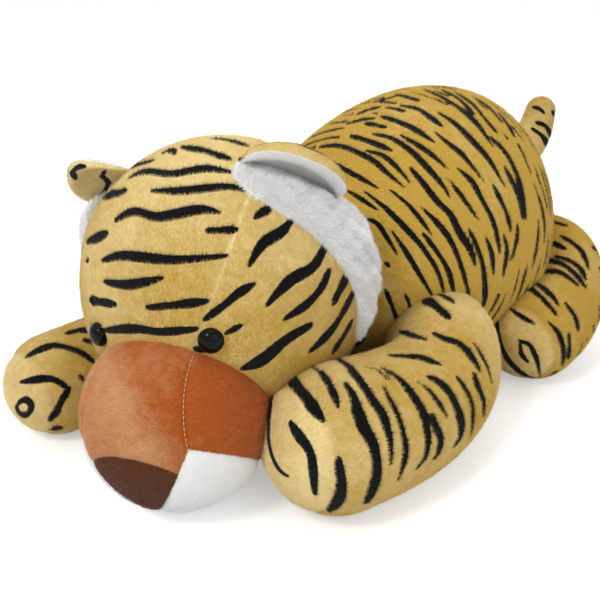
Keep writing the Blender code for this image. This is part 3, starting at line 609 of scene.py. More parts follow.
def tube_rings(spine, radii, sides, fineness):
    """Fine rings along a smooth spine, the last ones closing as a dome, and the two end points."""
    spine = np.array(spine)
    radii = np.array(radii)
    length = np.linalg.norm(np.diff(spine, axis=0), axis=1).sum()
    steps = int(length / fineness)
    shares = np.linspace(0, 1, steps + 1)
    centres = smooth_values(spine, shares)
    widths = smooth_values(radii, shares)
    turns = np.linspace(0, 2 * math.pi, sides, endpoint=False)
    rings = []
    above = np.array([0.0, 0.0, 1.0])
    for step, centre in enumerate(centres):
        ahead = centres[min(step + 1, steps)] - centres[max(step - 1, 0)]
        ahead /= np.linalg.norm(ahead)
        across = np.cross(ahead, above)
        across /= np.linalg.norm(across)
        above = np.cross(across, ahead)
        circle = np.outer(np.cos(turns), across) + np.outer(np.sin(turns), above)
        rings.append(centre + widths[step] * circle)
    dome = int(0.5 * math.pi * widths[-1] / fineness)
    for ring in range(1, dome):
        turn = 0.5 * math.pi * ring / dome
        centre = centres[-1] + ahead * widths[-1] * math.sin(turn)
        rings.append(centre + widths[-1] * math.cos(turn) * circle)
    return np.array(rings), centres[0], centres[-1] + ahead * widths[-1], ahead


def make_leg_surface(name, spine, thick, paw, fineness):
    """A leg along its spine, with a point on its sole's seam and the way that the paw points."""
    last_step = len(spine) - 1
    radii = [thick + (paw - thick) * step / last_step for step in range(len(spine))]
    radii[0] *= LEG_ROOT_SHARE
    sides = int(2 * math.pi * paw / fineness)
    rings, first, last, ahead = tube_rings(spine, radii, sides, fineness)
    made = lofted(name, rings, first, last)
    press_on_floor(made)
    seam = np.array(spine[-1]) + ahead * paw * SOLE_SHARE
    return made, seam, ahead


def head_profile(fineness):
    """Points (along, radius) down the head's outline from behind to the nose."""
    ball_turn = math.pi - math.atan2(MUZZLE_SEAM_RADIUS, MUZZLE_SEAM)
    muzzle_turn = math.atan2(MUZZLE_SEAM_RADIUS, MUZZLE_SEAM - MUZZLE_REACH)
    ball_steps = int(ball_turn * HEAD_RADIUS / fineness)
    muzzle_steps = int(muzzle_turn * MUZZLE_RADIUS / fineness)
    outline = []
    for step in range(1, ball_steps + 1):
        turn = ball_turn * step / ball_steps
        outline.append((-HEAD_RADIUS * math.cos(turn), HEAD_RADIUS * math.sin(turn)))
    for step in range(1, muzzle_steps):
        turn = muzzle_turn * (1.0 - step / muzzle_steps)
        outline.append((MUZZLE_REACH + MUZZLE_RADIUS * math.cos(turn), MUZZLE_RADIUS * math.sin(turn)))
    return np.array(outline)


def seam_planes():
    """Each seam plane of the head as a point and a normal in the head's own directions."""
    forehead = math.radians(FOREHEAD_HALF_ANGLE)
    spread = math.radians(MUZZLE_SEAM_SPREAD)
    taper = math.radians(NOSE_TAPER)
    slope = math.radians(CHIN_SEAM_SLOPE)
    corner = MUZZLE_SEAM_RADIUS * math.sin(forehead)
    return {
        "muzzle": ((MUZZLE_SEAM, 0, 0), (1, 0, 0)),
        "brow_left": ((0, 0, 0), (0, math.cos(forehead), -math.sin(forehead))),
        "brow_right": ((0, 0, 0), (0, -math.cos(forehead), -math.sin(forehead))),
        "bridge_left": ((MUZZLE_SEAM, corner, 0), (-math.sin(spread), math.cos(spread), 0)),
        "bridge_right": ((MUZZLE_SEAM, -corner, 0), (-math.sin(spread), -math.cos(spread), 0)),
        "nose_left": ((0, 0, -NOSE_TIP_DROP), (0, math.cos(taper), -math.sin(taper))),
        "nose_right": ((0, 0, -NOSE_TIP_DROP), (0, -math.cos(taper), -math.sin(taper))),
        "nose_top": ((NOSE_SEAM_REACH, 0, 0), (1, 0, 0)),
        "chin": ((CHIN_SEAM_REACH, 0, 0), (math.cos(slope), 0, -math.sin(slope))),
        "half": ((0, 0, 0), (0, 1, 0)),
    }


def panel_of(side_of):
    """Name of the sewn panel a point lies in, from its signed distance to each seam plane."""
    side = "left" if side_of["half"] > 0 else "right"
    if side_of["muzzle"] < 0:
        if side_of["brow_left"] < 0 and side_of["brow_right"] < 0:
            return "forehead_panel"
        return f"head_side_{side}"
    if side_of["nose_left"] < 0 and side_of["nose_right"] < 0:
        if side_of["nose_top"] > 0:
            return "nose_patch"
        if side_of["bridge_left"] < 0 and side_of["bridge_right"] < 0:
            return "muzzle_bridge"
    if side_of["chin"] > 0:
        return f"chin_{side}"
    return f"muzzle_side_{side}"


def smooth_step(value, low, high):
    """0 below low, 1 above high, with a smooth change between them."""
    share = min(max((value - low) / (high - low), 0.0), 1.0)
    return share * share * (3.0 - 2.0 * share)


SNAP_DISTANCE = 0.0004
MUZZLE_SEAM_SHARE = 0.3


def make_head_surfaces(shape_settings):
    """One object for each sewn panel of head and muzzle, drawn in along every seam."""
    fineness = shape_settings.fineness
    outline = head_profile(fineness)
    sides = int(2 * math.pi * HEAD_RADIUS / fineness / 2) * 2
    turns = np.linspace(0, 2 * math.pi, sides, endpoint=False)
    rings = np.stack(
        [
            np.repeat(outline[:, 0:1], sides, 1),
            outline[:, 1:2] * np.cos(turns),
            outline[:, 1:2] * np.sin(turns),
        ],
        2,
    )
    whole = lofted("head_plush", rings, (-HEAD_RADIUS, 0, 0), (MUZZLE_REACH + MUZZLE_RADIUS, 0, 0))
    shape = bmesh.new()
    shape.from_mesh(whole.data)
    planes = seam_planes()
    for point, normal in planes.values():
        everything = shape.verts[:] + shape.edges[:] + shape.faces[:]
        bmesh.ops.bisect_plane(shape, geom=everything, plane_co=point, plane_no=normal, dist=SNAP_DISTANCE)
    shape.verts.ensure_lookup_table()
    panels = {}
    members = [set() for _ in shape.verts]
    for face in shape.faces:
        middle = face.calc_center_median()
        side_of = {
            name: (middle - Vector(point)).dot(Vector(normal)) for name, (point, normal) in planes.items()
        }
        panel = panel_of(side_of)
        panels.setdefault(panel, []).append(face)
        for corner in face.verts:
            members[corner.index].add(panel)
    tree = points_tree(corner.co for corner in shape.verts if len(members[corner.index]) > 1)
    shape.normal_update()
    moved = {}
    for corner in shape.verts:
        pull = shape_settings.seam_depth * fade(tree.find(corner.co)[2], shape_settings.seam_width)
        if abs(corner.co.x - MUZZLE_SEAM) < 3.0 * shape_settings.seam_width:
            pull *= MUZZLE_SEAM_SHARE
        local = corner.co - corner.normal * pull
        flat = smooth_step(-local.y, TEMPLE_EDGE, HEAD_RADIUS) * smooth_step(local.x, 0.0, TEMPLE_REACH)
        local.y *= 1.0 - TEMPLE_FLATNESS * flat
        moved[corner.index] = HEAD.place(local)
    made = {}
    for name, faces in panels.items():
        numbers = {}
        points = []
        corners = []
        for face in faces:
            loop = []
            for corner in face.verts:
                if corner.index not in numbers:
                    numbers[corner.index] = len(points)
                    points.append(moved[corner.index])
                loop.append(numbers[corner.index])
            corners.append(loop)
        mesh = mesh_of(name, points, [], corners)
        mesh.shade_smooth()
        made[name] = linked(f"{name}_plush", mesh)
    shape.free()
    bpy.data.objects.remove(whole)
    for panel in made.values():
        press_on_floor(panel)
    return made


def trim(item, is_hidden):
    """Deletes the faces whose points all lie inside a neighbour."""
    hidden = is_hidden(points_of(item))
    shape = bmesh.new()
    shape.from_mesh(item.data)
    shape.verts.ensure_lookup_table()
    gone = [face for face in shape.faces if all(hidden[v.index] for v in face.verts)]
    bmesh.ops.delete(shape, geom=gone, context="FACES")
    shape.to_mesh(item.data)
    shape.free()


def tree_of(items):
    """A tree of all the faces of these objects, for rays and for the nearest place on them."""
    points = []
    faces = []
    for item in items:
        shift = len(points)
        points += [v.co.copy() for v in item.data.vertices]
        faces += [[shift + corner for corner in face.vertices] for face in item.data.polygons]
    return BVHTree.FromPolygons(points, faces)


# Stripes

# Form of every stripe, as shares of its length and of its widest half width

STRIPE_END = 0.26
STRIPE_TIP = 0.34
STRIPE_WAVER = 0.13

# A stripe that the camera sees from the side is widened by no more than this

WIDEST_SLANT = 1.45

# Everything of the real shape, for finding what hides a place from the camera

OCCLUDERS = tree_of([node for name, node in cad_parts.items() if not name.endswith("_stuffing")])
HIDDEN_MARGIN = 0.012


def is_seen(point):
    """Whether the camera sees this place on the surface."""
    way = Vector(point) - CAMERA_PLACE
    distance = way.length
    found = OCCLUDERS.ray_cast(CAMERA_PLACE, way.normalized())[3]
    return found is None or found > distance - HIDDEN_MARGIN


def stroke_profile(share, wobble):
    """Half width of a stripe along its length, as a share of its widest: blunt ends, uneven middle."""
    ends = min(1.0, share / STRIPE_END) * min(1.0, (1.0 - share) / STRIPE_END)
    middle = 1.0 + STRIPE_WAVER * math.sin(wobble + 9.0 * share)
    return (STRIPE_TIP + (1.0 - STRIPE_TIP) * ends**0.7) * middle


def photo_stripes(stripes, tree, crop=(0.0, 0.0, 1.0), broaden=1.0):
    """Places on the surface along each stripe of the photograph, with the stripe's half width there."""
    left, top, scale = crop
    samples = []
    for number, stripe in enumerate(stripes):
        half_pixels = 0.5 * stripe[0] * broaden / scale
        corners = np.array(stripe[1:], float).reshape(-1, 2) / scale + (left, top)
        length = np.linalg.norm(np.diff(corners, axis=0), axis=1).sum()
        shares = np.linspace(0, 1, max(int(length * 1.5), 6))
        pixels = smooth_values(corners, shares)
        steps = np.gradient(pixels, axis=0)
        sides = np.stack([-steps[:, 1], steps[:, 0]], 1)
        sides /= np.linalg.norm(sides, axis=1, keepdims=True)
        wobble = random.Random(number).uniform(0, 6.3)
        for (x, y), (aside, down), share in zip(pixels, sides, shares):
            half = half_pixels * stroke_profile(share, wobble)
            middle, _, _, distance = tree.ray_cast(CAMERA_PLACE, pixel_ray(x, y))
            if middle is None:
                continue
            plain = half * distance * SENSOR_WIDTH / (CAMERA_LENS * PHOTO_WIDTH)
            reach = []
            for turn in (-1.0, 1.0):
                way = pixel_ray(x + turn * aside * half, y + turn * down * half)
                edge = tree.ray_cast(CAMERA_PLACE, way)[0]
                if edge is not None:
                    reach.append((edge - middle).length)
            wide = min(sum(reach) / len(reach), WIDEST_SLANT * plain) if reach else plain
            samples.append((middle, wide))
    return samples


def mirrored_on_head(samples, tree):
    """The same stripes on the head's other side, where the photograph doesn't show it."""
    made = []
    for point, half in samples:
        reach, aside, height = HEAD.local(point)
        found = tree.find_nearest(Vector(HEAD.place((reach, -aside, height))))[0]
        if not is_seen(found):
            made.append((found, half))
    return made


def spine_frame(spine, share):
    """Middle of the spine at a share of its length, the way ahead, and the two ways across it."""
    middle = smooth_values(spine, [share])[0]
    start, end = smooth_values(spine, [min(share, 0.98), min(share, 0.98) + 0.02])
    ahead = (end - start) / np.linalg.norm(end - start)
    across = np.cross(ahead, (0.0, 0.0, 1.0))
    across /= np.linalg.norm(across)
    return middle, ahead, across, np.cross(across, ahead)


# Seeded stripes: steps along them and gaps between them in metres, how far round a paw's or the rear's
# end they go in degrees, the longest sweep round a piece in radians, and the fewest places of a stripe

STRIPE_STEP = 0.0015
STRIPE_GAPS = (0.007, 0.020)
LAST_LEAN = 62.0
LONGEST_SWEEP = 2.4
FEWEST_SPOTS = 5

# Their two waves along the spine and their slant, as shares of the spacing, and how far they keep
# from the photograph's own stripes, as a share of the half width

SLOW_WAVE = 0.6
QUICK_WAVE = 0.18
STRIPE_SLANT = 0.35
STRIPE_CLEARANCE = 2.6


class Stripes(NamedTuple):
    """How seeded stripes lie on a piece: their spacing along the spine, half width and range of lengths.

    They go where the camera sees nothing, and where the surface faces it by less than grazing."""

    seed: int
    spacing: float
    half: float
    lengths: tuple
    grazing: float = 0.0


def faces_camera(point, outward):
    """1 where the surface faces the camera, near 0 where the camera only grazes it."""
    return outward.dot((CAMERA_PLACE - point).normalized())


def seeded_stripes(tree, spine, samples, stripes):
    """Seeded stripes round a spine and over its far end, where the photograph shows nothing clearly."""
    seed, spacing, half, lengths, grazing = stripes
    pick = random.Random(seed)
    spine = np.array(spine, float)
    length = np.linalg.norm(np.diff(spine, axis=0), axis=1).sum()
    taken = points_tree(point for point, _ in samples)

    def spot(there, angle, lean, drift):
        middle, ahead, across, above = there
        way = across * math.cos(angle) + above * math.sin(angle)
        way = way * math.cos(lean) + ahead * math.sin(lean)
        return tree.ray_cast(Vector(middle + ahead * drift), Vector(way))[:2]

    def girth(there, lean):
        found = [spot(there, math.radians(turn), lean, 0.0)[0] for turn in range(0, 360, 45)]
        reach = [(point - Vector(there[0])).length for point in found if point is not None]
        return max(sum(reach) / max(len(reach), 1), 0.01)

    def is_free(point, outward):
        hidden = not is_seen(point) or faces_camera(point, outward) < grazing
        return hidden and (not samples or taken.find(point)[2] > STRIPE_CLEARANCE * half)

    stations = [(share, 0.0) for share in np.arange(0.3 * spacing, length, spacing) / length]
    end_step = spacing / girth(spine_frame(spine, 1.0), 0.0)
    stations += [(1.0, lean) for lean in np.arange(end_step, math.radians(LAST_LEAN), end_step)]
    made = []
    for share, lean in stations:
        there = spine_frame(spine, share)
        reach = girth(there, lean)
        radius = max(reach * math.cos(lean), 0.01)
        turn = pick.uniform(0.0, 2 * math.pi)
        end = turn + 2 * math.pi
        while turn < end:
            sweep = min(pick.uniform(*lengths) / radius, LONGEST_SWEEP)
            wide = half * pick.uniform(0.7, 1.15)
            wobble = pick.uniform(0, 6.3)
            slant = pick.uniform(-STRIPE_SLANT, STRIPE_SLANT) * spacing
            run = []
            for step in np.linspace(0, 1, max(int(sweep * radius / STRIPE_STEP), 8)):
                angle = turn + sweep * step
                slow = SLOW_WAVE * math.sin(2 * angle + seed + 4.0 * share)
                drift = slow + QUICK_WAVE * math.sin(9 * angle + 7.0 * share)
                drift = spacing * drift * math.cos(lean) ** 2 + slant * (step - 0.5)
                tipped = lean + drift / reach * (lean > 0)
                point, outward = spot(there, angle, tipped, drift * (lean == 0))
                if point is not None and is_free(point, outward):
                    run.append((point, wide * stroke_profile(step, wobble)))
                    continue
                if len(run) >= FEWEST_SPOTS:
                    made += run
                run = []
            if len(run) >= FEWEST_SPOTS:
                made += run
            turn += sweep + pick.uniform(*STRIPE_GAPS) / radius
    return made


FARTHEST = 12.0
NEAREST_PLACES = 7


def paint_stripes(items, samples):
    """Gives each vertex its signed distance from the nearest stripe's edge, in millimetres."""
    tree = points_tree(point for point, _ in samples)
    for item in items:
        values = np.full(len(item.data.vertices), FARTHEST, np.float32)
        if samples:
            for corner in item.data.vertices:
                near = tree.find_n(corner.co, NEAREST_PLACES)
                best = min(distance - samples[place][1] for _, place, distance in near)
                values[corner.index] = min(best * 1000.0, FARTHEST)
        add_values(item, "stripe", values)


def add_values(item, name, values):
    attribute = item.data.attributes.new(name, "FLOAT", "POINT")
    attribute.data.foreach_set("value", np.asarray(values, np.float32))


NAP_PATCH = 0.13


def brush_nap_and_light(item, seed, base=0.5, swing=0.16, extra=None):
    """How far the nap is brushed pale, from 0 to 1: broad soft patches and what extra adds to them. Over
    the crown and on the far ear this paleness is painted light.
    """
    points = points_of(item)
    values = base + swing * waves(points, NAP_PATCH, seed)
    if extra is not None:
        values = values + extra(points)
    add_values(item, "nap", values)


def sewn_ring(item, point, normal, depth, width):
    """Draws the plush in along a seam that lies in a plane."""
    points = points_of(item)
    distance = np.abs((points - np.array(point)) @ np.array(normal))
    put_points(item, points - normals_of(item) * (depth * fade(distance, width))[:, None])


# Materials


def add_node(tree, kind, values, settings):
    """A node with these settings, each input linked where its value is a socket and set where it isn't."""
    node = tree.nodes.new(kind)
    for key, value in settings.items():
        setattr(node, key, value)
    for key, value in (values or {}).items():
        if isinstance(value, bpy.types.NodeSocket):
            tree.links.new(value, node.inputs[key])
        else:
            node.inputs[key].default_value = value
    return node


class Tree:
    """Short calls for building a material's nodes."""

    def __init__(self, name):
        self.material = bpy.data.materials.new(name)
        self.material.use_nodes = True
        self.links = self.material.node_tree.links
        self.shader = self.material.node_tree.nodes["Principled BSDF"]

    def add(self, kind, values=None, **settings):
        return add_node(self.material.node_tree, kind, values, settings)

    def attribute(self, name):
        return self.add("ShaderNodeAttribute", attribute_name=name).outputs["Fac"]

    def noise(self, scale, detail=2.0, vector=None, roughness=0.5):
        values = {"Scale": scale, "Detail": detail, "Roughness": roughness}
        values["Vector"] = vector or self.add("ShaderNodeTexCoord").outputs["Object"]
        return self.add("ShaderNodeTexNoise", values).outputs["Fac"]

    def math(self, operation, first, second=0.5, third=0.5):
        return self.add("ShaderNodeMath", {0: first, 1: second, 2: third}, operation=operation).outputs[0]

    def ramp(self, value, low, high, to_low=0.0, to_high=1.0, smooth=True):
        kind = "SMOOTHSTEP" if smooth else "LINEAR"
        values = {"Value": value, "From Min": low, "From Max": high, "To Min": to_low, "To Max": to_high}
        return self.add("ShaderNodeMapRange", values, interpolation_type=kind).outputs["Result"]

    def mix(self, factor, first, second):
        values = {0: factor}
        for key, value in ((6, first), (7, second)):
            values[key] = value if isinstance(value, bpy.types.NodeSocket) else (*value, 1.0)
        return self.add("ShaderNodeMix", values, data_type="RGBA").outputs[2]

    def tinted(self, colour, shade):
        """Sets the base colour to a colour made lighter or darker by a shade."""
        node = self.add("ShaderNodeVectorMath", {0: colour, 1: shade}, operation="MULTIPLY")
        self.links.new(node.outputs[0], self.shader.inputs["Base Color"])


# Sizes of the plush's noises, in waves per metre, and how strongly they shift its tone

PATCH_SCALE = 24.0
STREAK_SCALE = 150.0
PILE_SCALE = 1300.0
EDGE_SCALE = 620.0
PATCH_SHARE = 0.75
STREAK_SHARE = 0.55
TONE_RANGE = (0.12, 0.92)
PILE_SHADES = (0.87, 1.11)

# A stripe's edge, in millimetres: how ragged it is, how much more so where tufts stand up, how soft

EDGE_RAGGED = 1.1
TUFT_RAGGED = 3.0
EDGE_SOFTNESS = 0.45


def plush_material(name, ground, pale, stripe=None):
    """Plush that is paler where its nap lies towards the light, with or without printed stripes."""
    tree = Tree(name)
    # The nap values hold painted light too, over the crown and on the far ear
    nap = tree.attribute("nap")
    patches = tree.math("SUBTRACT", tree.noise(PATCH_SCALE, 4.0, roughness=0.6), 0.5)
    streaks = tree.math("SUBTRACT", tree.noise(STREAK_SCALE, 3.0, roughness=0.6), 0.5)
    pile = tree.noise(PILE_SCALE, 2.0)
    tone = tree.math("MULTIPLY_ADD", patches, PATCH_SHARE, nap)
    tone = tree.math("MULTIPLY_ADD", streaks, STREAK_SHARE, tone)
    colour = tree.mix(tree.ramp(tone, *TONE_RANGE, smooth=False), ground, pale)
    if stripe:
        reach = tree.math("MULTIPLY_ADD", tree.attribute("tuft"), TUFT_RAGGED, EDGE_RAGGED)
        ragged = tree.math("SUBTRACT", tree.noise(EDGE_SCALE, 4.0), 0.5)
        distance = tree.math("ADD", tree.attribute("stripe"), tree.math("MULTIPLY", ragged, reach))
        colour = tree.mix(tree.ramp(distance, -EDGE_SOFTNESS, EDGE_SOFTNESS), stripe, colour)
    tree.tinted(colour, tree.ramp(pile, 0.25, 0.75, *PILE_SHADES, False))
    tree.shader.inputs["Roughness"].default_value = 0.95
    tree.shader.inputs["Specular IOR Level"].default_value = 0.08
    tree.shader.inputs["Sheen Weight"].default_value = 0.12
    tree.shader.inputs["Sheen Roughness"].default_value = 0.5
    bump = tree.add("ShaderNodeBump", {"Strength": 0.45, "Distance": 0.0008, "Height": pile})
    tree.links.new(bump.outputs["Normal"], tree.shader.inputs["Normal"])
    return tree.material


def gloss_material(name, colour, roughness):
    tree = Tree(name)
    smudge = tree.ramp(tree.noise(60.0, 3.0), 0.3, 0.7, roughness, roughness + 0.05)
    tree.links.new(smudge, tree.shader.inputs["Roughness"])
    tree.shader.inputs["Base Color"].default_value = (*colour, 1.0)
    tree.shader.inputs["Specular IOR Level"].default_value = 0.12
    return tree.material


def thread_material(name, colour):
    tree = Tree(name)
    tree.tinted(colour, tree.ramp(tree.noise(90.0, 2.0), 0.3, 0.7, 0.93, 1.0))
    tree.shader.inputs["Roughness"].default_value = 0.9
    tree.shader.inputs["Specular IOR Level"].default_value = 0.1
    return tree.material


def fibre_material(name):
    tree = Tree(name)
    clumps = tree.ramp(tree.noise(180.0, 4.0), 0.3, 0.7)
    colour = tree.mix(clumps, (0.70, 0.70, 0.68), (0.90, 0.90, 0.88))
    tree.links.new(colour, tree.shader.inputs["Base Color"])
    tree.shader.inputs["Roughness"].default_value = 1.0
    return tree.material


LOOKS = {}
WHITE_SHADE = 0.9
BROWN_SHADE = 1.4


def make_looks(settings):
    """Every finish of the tiger, from the colours in the settings."""
    white = settings.white[:]
    brown = settings.brown[:]
    dull_white = tuple(share * WHITE_SHADE for share in white)
    pale_brown = tuple(share * BROWN_SHADE for share in brown)
    gold, pale_gold, stripe = settings.gold[:], settings.pale_gold[:], settings.stripe[:]
    LOOKS["striped"] = plush_material("striped_plush_look", gold, pale_gold, stripe)
    LOOKS["white"] = plush_material("white_plush_look", dull_white, white)
    LOOKS["rust"] = plush_material("rust_plush_look", settings.rust[:], settings.tan[:])
    LOOKS["brown"] = plush_material("brown_plush_look", brown, pale_brown)
    LOOKS["gloss"] = gloss_material("eye_gloss", (0.003, 0.003, 0.003), 0.03)
    LOOKS["thread"] = thread_material("seam_thread", (0.66, 0.40, 0.20))
    LOOKS["fibre"] = fibre_material("stuffing_fibre")
    LOOKS["washer"] = gloss_material("washer_plastic", (0.75, 0.75, 0.72), 0.4)


def dress(item, look):
    item.data.materials.clear()
    item.data.materials.append(LOOKS[look])


def finish_plush(item, look, fill, *nodes):
    """Gives a stuffed plush piece its finish, and hides the CAD nodes that it stands for."""
    dress(item, look)
    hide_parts(*nodes)


# Geometry Nodes


class Scatter:
    """A node tree that sets copies of a small form on a surface or along a path."""

    def __init__(self, name, look):
        self.tree = bpy.data.node_groups.new(name, "GeometryNodeTree")
        self.tree.interface.new_socket("Geometry", in_out="INPUT", socket_type="NodeSocketGeometry")
        self.tree.interface.new_socket("Geometry", in_out="OUTPUT", socket_type="NodeSocketGeometry")
        self.values = {}
        self.look = look
        self.input = self.tree.nodes.new("NodeGroupInput")

    def add(self, kind, values=None, **settings):
        return add_node(self.tree, kind, values, settings)

    def placed(self, points, form, rotation, scale):
        """Copies of an object's form on points, turned and scaled."""
        copy = self.add("GeometryNodeObjectInfo", {"Object": form}).outputs["Geometry"]
        values = {"Points": points, "Instance": copy, "Rotation": rotation, "Scale": scale}
        return self.add("GeometryNodeInstanceOnPoints", values).outputs[0]

    def size(self, name, value, kind="NodeSocketFloat"):
        """A named input of the tree, with its value set on the modifier."""
        socket = self.tree.interface.new_socket(name, in_out="INPUT", socket_type=kind)
        self.values[socket.identifier] = value
        return self.input.outputs[name]

    def finish(self, geometry):
        realized = self.add("GeometryNodeRealizeInstances", {"Geometry": geometry}).outputs[0]
        dressed = self.add("GeometryNodeSetMaterial", {"Geometry": realized, "Material": self.look})
        output = self.tree.nodes.new("NodeGroupOutput")
        self.tree.links.new(dressed.outputs[0], output.inputs[0])

    def made_on(self, item, name):
        """The result as a plain mesh object of its own."""
        modifier = item.modifiers.new("scatter", "NODES")
        modifier.node_group = self.tree
        for identifier, value in self.values.items():
            modifier[identifier] = value
        graph = bpy.context.evaluated_depsgraph_get()
        mesh = bpy.data.meshes.new_from_object(item.evaluated_get(graph))
        item.modifiers.remove(modifier)
        mesh.materials.clear()
        mesh.materials.append(self.look)
        return linked(name, mesh)


class Pile(NamedTuple):
    """How pile stands: tufts per square metre, their length, the way they are combed, their form as
    shares of the length, and how far they tilt and turn at random in radians."""

    density: float
    length: float
    comb: tuple
    half_width: float = 0.10
    rise: float = 0.55
    tilt: float = 0.35
    spread: float = 0.6


TUFT_CORNERS = ((0.03, 0.03), (0.97, 0.03), (0.5, 0.97))
TUFT_LENGTHS = (0.65, 1.1)


def tuft_form(rise, half_width):
    """One tuft of pile, one unit long, bent over so that its face looks outwards."""
    points = [(-half_width, 0.0, 0.0), (half_width, 0.0, 0.0), (0.0, 1.0, rise)]
    return linked("tuft", mesh_of("tuft", points, [], [(0, 1, 2)]))


def tufts_on(item, name, look, pile, seed):
    """Tufts of pile scattered over a surface, combed along one way, each turned and tilted at random."""
    tuft = tuft_form(pile.rise, pile.half_width)
    nodes = Scatter(name, look)
    geometry = nodes.input.outputs["Geometry"]
    points = nodes.add(
        "GeometryNodeDistributePointsOnFaces",
        {"Mesh": geometry, "Density": nodes.size("Tufts per square metre", pile.density), "Seed": seed},
    )
    combed = nodes.add(
        "FunctionNodeAlignRotationToVector",
        {
            "Rotation": points.outputs["Rotation"],
            "Vector": nodes.size("Comb direction", pile.comb, "NodeSocketVector"),
        },
        axis="Y",
        pivot_axis="Z",
    )
    turn = nodes.add("FunctionNodeRandomValue", {"Seed": seed + 1}, data_type="FLOAT_VECTOR")
    turn.inputs["Min"].default_value = (-pile.tilt, -pile.tilt, -pile.spread)
    turn.inputs["Max"].default_value = (pile.tilt, pile.tilt, pile.spread)
    twist = nodes.add("FunctionNodeEulerToRotation", {"Euler": turn.outputs["Value"]})
    rotation = nodes.add(
        "FunctionNodeRotateRotation",
        {"Rotation": combed.outputs[0], "Rotate By": twist.outputs[0]},
        rotation_space="LOCAL",
    )
    long = nodes.size("Tuft length", pile.length)
    spread = nodes.add("FunctionNodeRandomValue", {"Seed": seed + 2}, data_type="FLOAT")
    spread.inputs[2].default_value, spread.inputs[3].default_value = TUFT_LENGTHS
    scale = nodes.add("ShaderNodeMath", {0: long, 1: spread.outputs[1]}, operation="MULTIPLY")
    nodes.finish(nodes.placed(points.outputs["Points"], tuft, rotation.outputs[0], scale.outputs[0]))
    made = nodes.made_on(item, name)
    bpy.data.objects.remove(tuft)
    lay_out_tufts(made)
    return made


def spread_bits(numbers, step):
    """Each number with step - 1 empty bits between its own bits."""
    return sum(((numbers >> bit) & 1) << (bit * step) for bit in range(12))


def gathered_bits(numbers, step):
    """Each number made of every step-th bit of its own."""
    return sum(((numbers >> (bit * step)) & 1) << bit for bit in range(12))


def lay_out_tufts(made):
    """A UV map with a small triangle for every tuft, where tufts near each other lie near each other."""
    roots = points_of(made).reshape(-1, 3, 3)[:, 0]
    low = roots.min(0)
    cells = ((roots - low) / (roots.max(0) - low + 1e-9) * 1023).astype(np.int64)
    path = spread_bits(cells[:, 0], 3) | spread_bits(cells[:, 1], 3) << 1 | spread_bits(cells[:, 2], 3) << 2
    rank = np.empty(len(roots), np.int64)
    rank[np.argsort(path, kind="stable")] = np.arange(len(roots))
    side = 2 ** math.ceil(math.log2(math.sqrt(len(roots))))
    place = np.stack([gathered_bits(rank, 2), gathered_bits(rank >> 1, 2)], 1)
    corners = (place[:, None, :] + np.array(TUFT_CORNERS)[None]) / side
    layer = made.data.uv_layers.new(name="OFBake")
    layer.data.foreach_set("uv", corners.astype(np.float32).ravel())


def grow_pile(item, look, pile, seed):
    """The pile of one piece as a piece of its own, with the same finish."""
    made = tufts_on(item, f"{item.name}_pile", LOOKS[look], pile, seed)
    return made


STITCH_PITCH = 0.0040
STITCH_LENGTH = 0.0030
STITCH_SIDES = 8
STITCH_OUTLINE = ((-0.48, 0.05), (-0.36, 0.12), (0.0, 0.14), (0.36, 0.12), (0.48, 0.05))


def stitch_form():
    """One stitch, one unit long and a quarter wide, rounded at both ends."""
    turns = np.linspace(0, 2 * math.pi, STITCH_SIDES, endpoint=False)
    rings = []
    for along, radius in STITCH_OUTLINE:
        rings.append(np.stack([radius * np.cos(turns), radius * np.sin(turns), 0 * turns + along], 1))
    return lofted("stitch", np.array(rings), (0, 0, -0.5), (0, 0, 0.5))


def stitches_along(points, name):
    """Stitches set at an even pitch along a path of points."""
    edges = [(place, place + 1) for place in range(len(points) - 1)]
    path = linked("stitch_path", mesh_of(name, points, edges, []))
    stitch = stitch_form()
    nodes = Scatter(name, LOOKS["thread"])
    curve = nodes.add("GeometryNodeMeshToCurve", {"Mesh": nodes.input.outputs["Geometry"]})
    spots = nodes.add(
        "GeometryNodeCurveToPoints",
        {"Curve": curve.outputs[0], "Length": nodes.size("Stitch pitch", STITCH_PITCH)},
        mode="LENGTH",
    )
    length = nodes.size("Stitch length", STITCH_LENGTH)
    nodes.finish(nodes.placed(spots.outputs["Points"], stitch, spots.outputs["Rotation"], length))
    made = nodes.made_on(path, name)
    made.data.shade_smooth()
    for item in (path, stitch):
        bpy.data.objects.remove(item)
    return made


WELD_DISTANCE = 0.00001


def bending_stuffing(name):
    """The stuffing of a leg, the tail or the head as a piece of its own."""
    node = f"{name}_stuffing"
    shape = bmesh.new()
    shape.from_mesh(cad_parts[node].data)
    bmesh.ops.remove_doubles(shape, verts=shape.verts, dist=WELD_DISTANCE)
    made = linked(f"{name}_fibre", bpy.data.meshes.new(f"{name}_fibre"))
    shape.to_mesh(made.data)
    shape.free()
    dress(made, "fibre")
    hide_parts(node)
    return made


# Operators

TORSO_STRIPE_HABIT = Stripes(11, 0.0125, 0.0025, (0.035, 0.095), grazing=0.50)
TORSO_SPINE_SHARES = (-0.05, 0.25, 0.5, 0.75)
TORSO_SPINE_HEIGHT = 0.45
TORSO_STRIPE_WIDENING = 1.06
TORSO_NAP = 0.02
TORSO_PILE = 560000.0


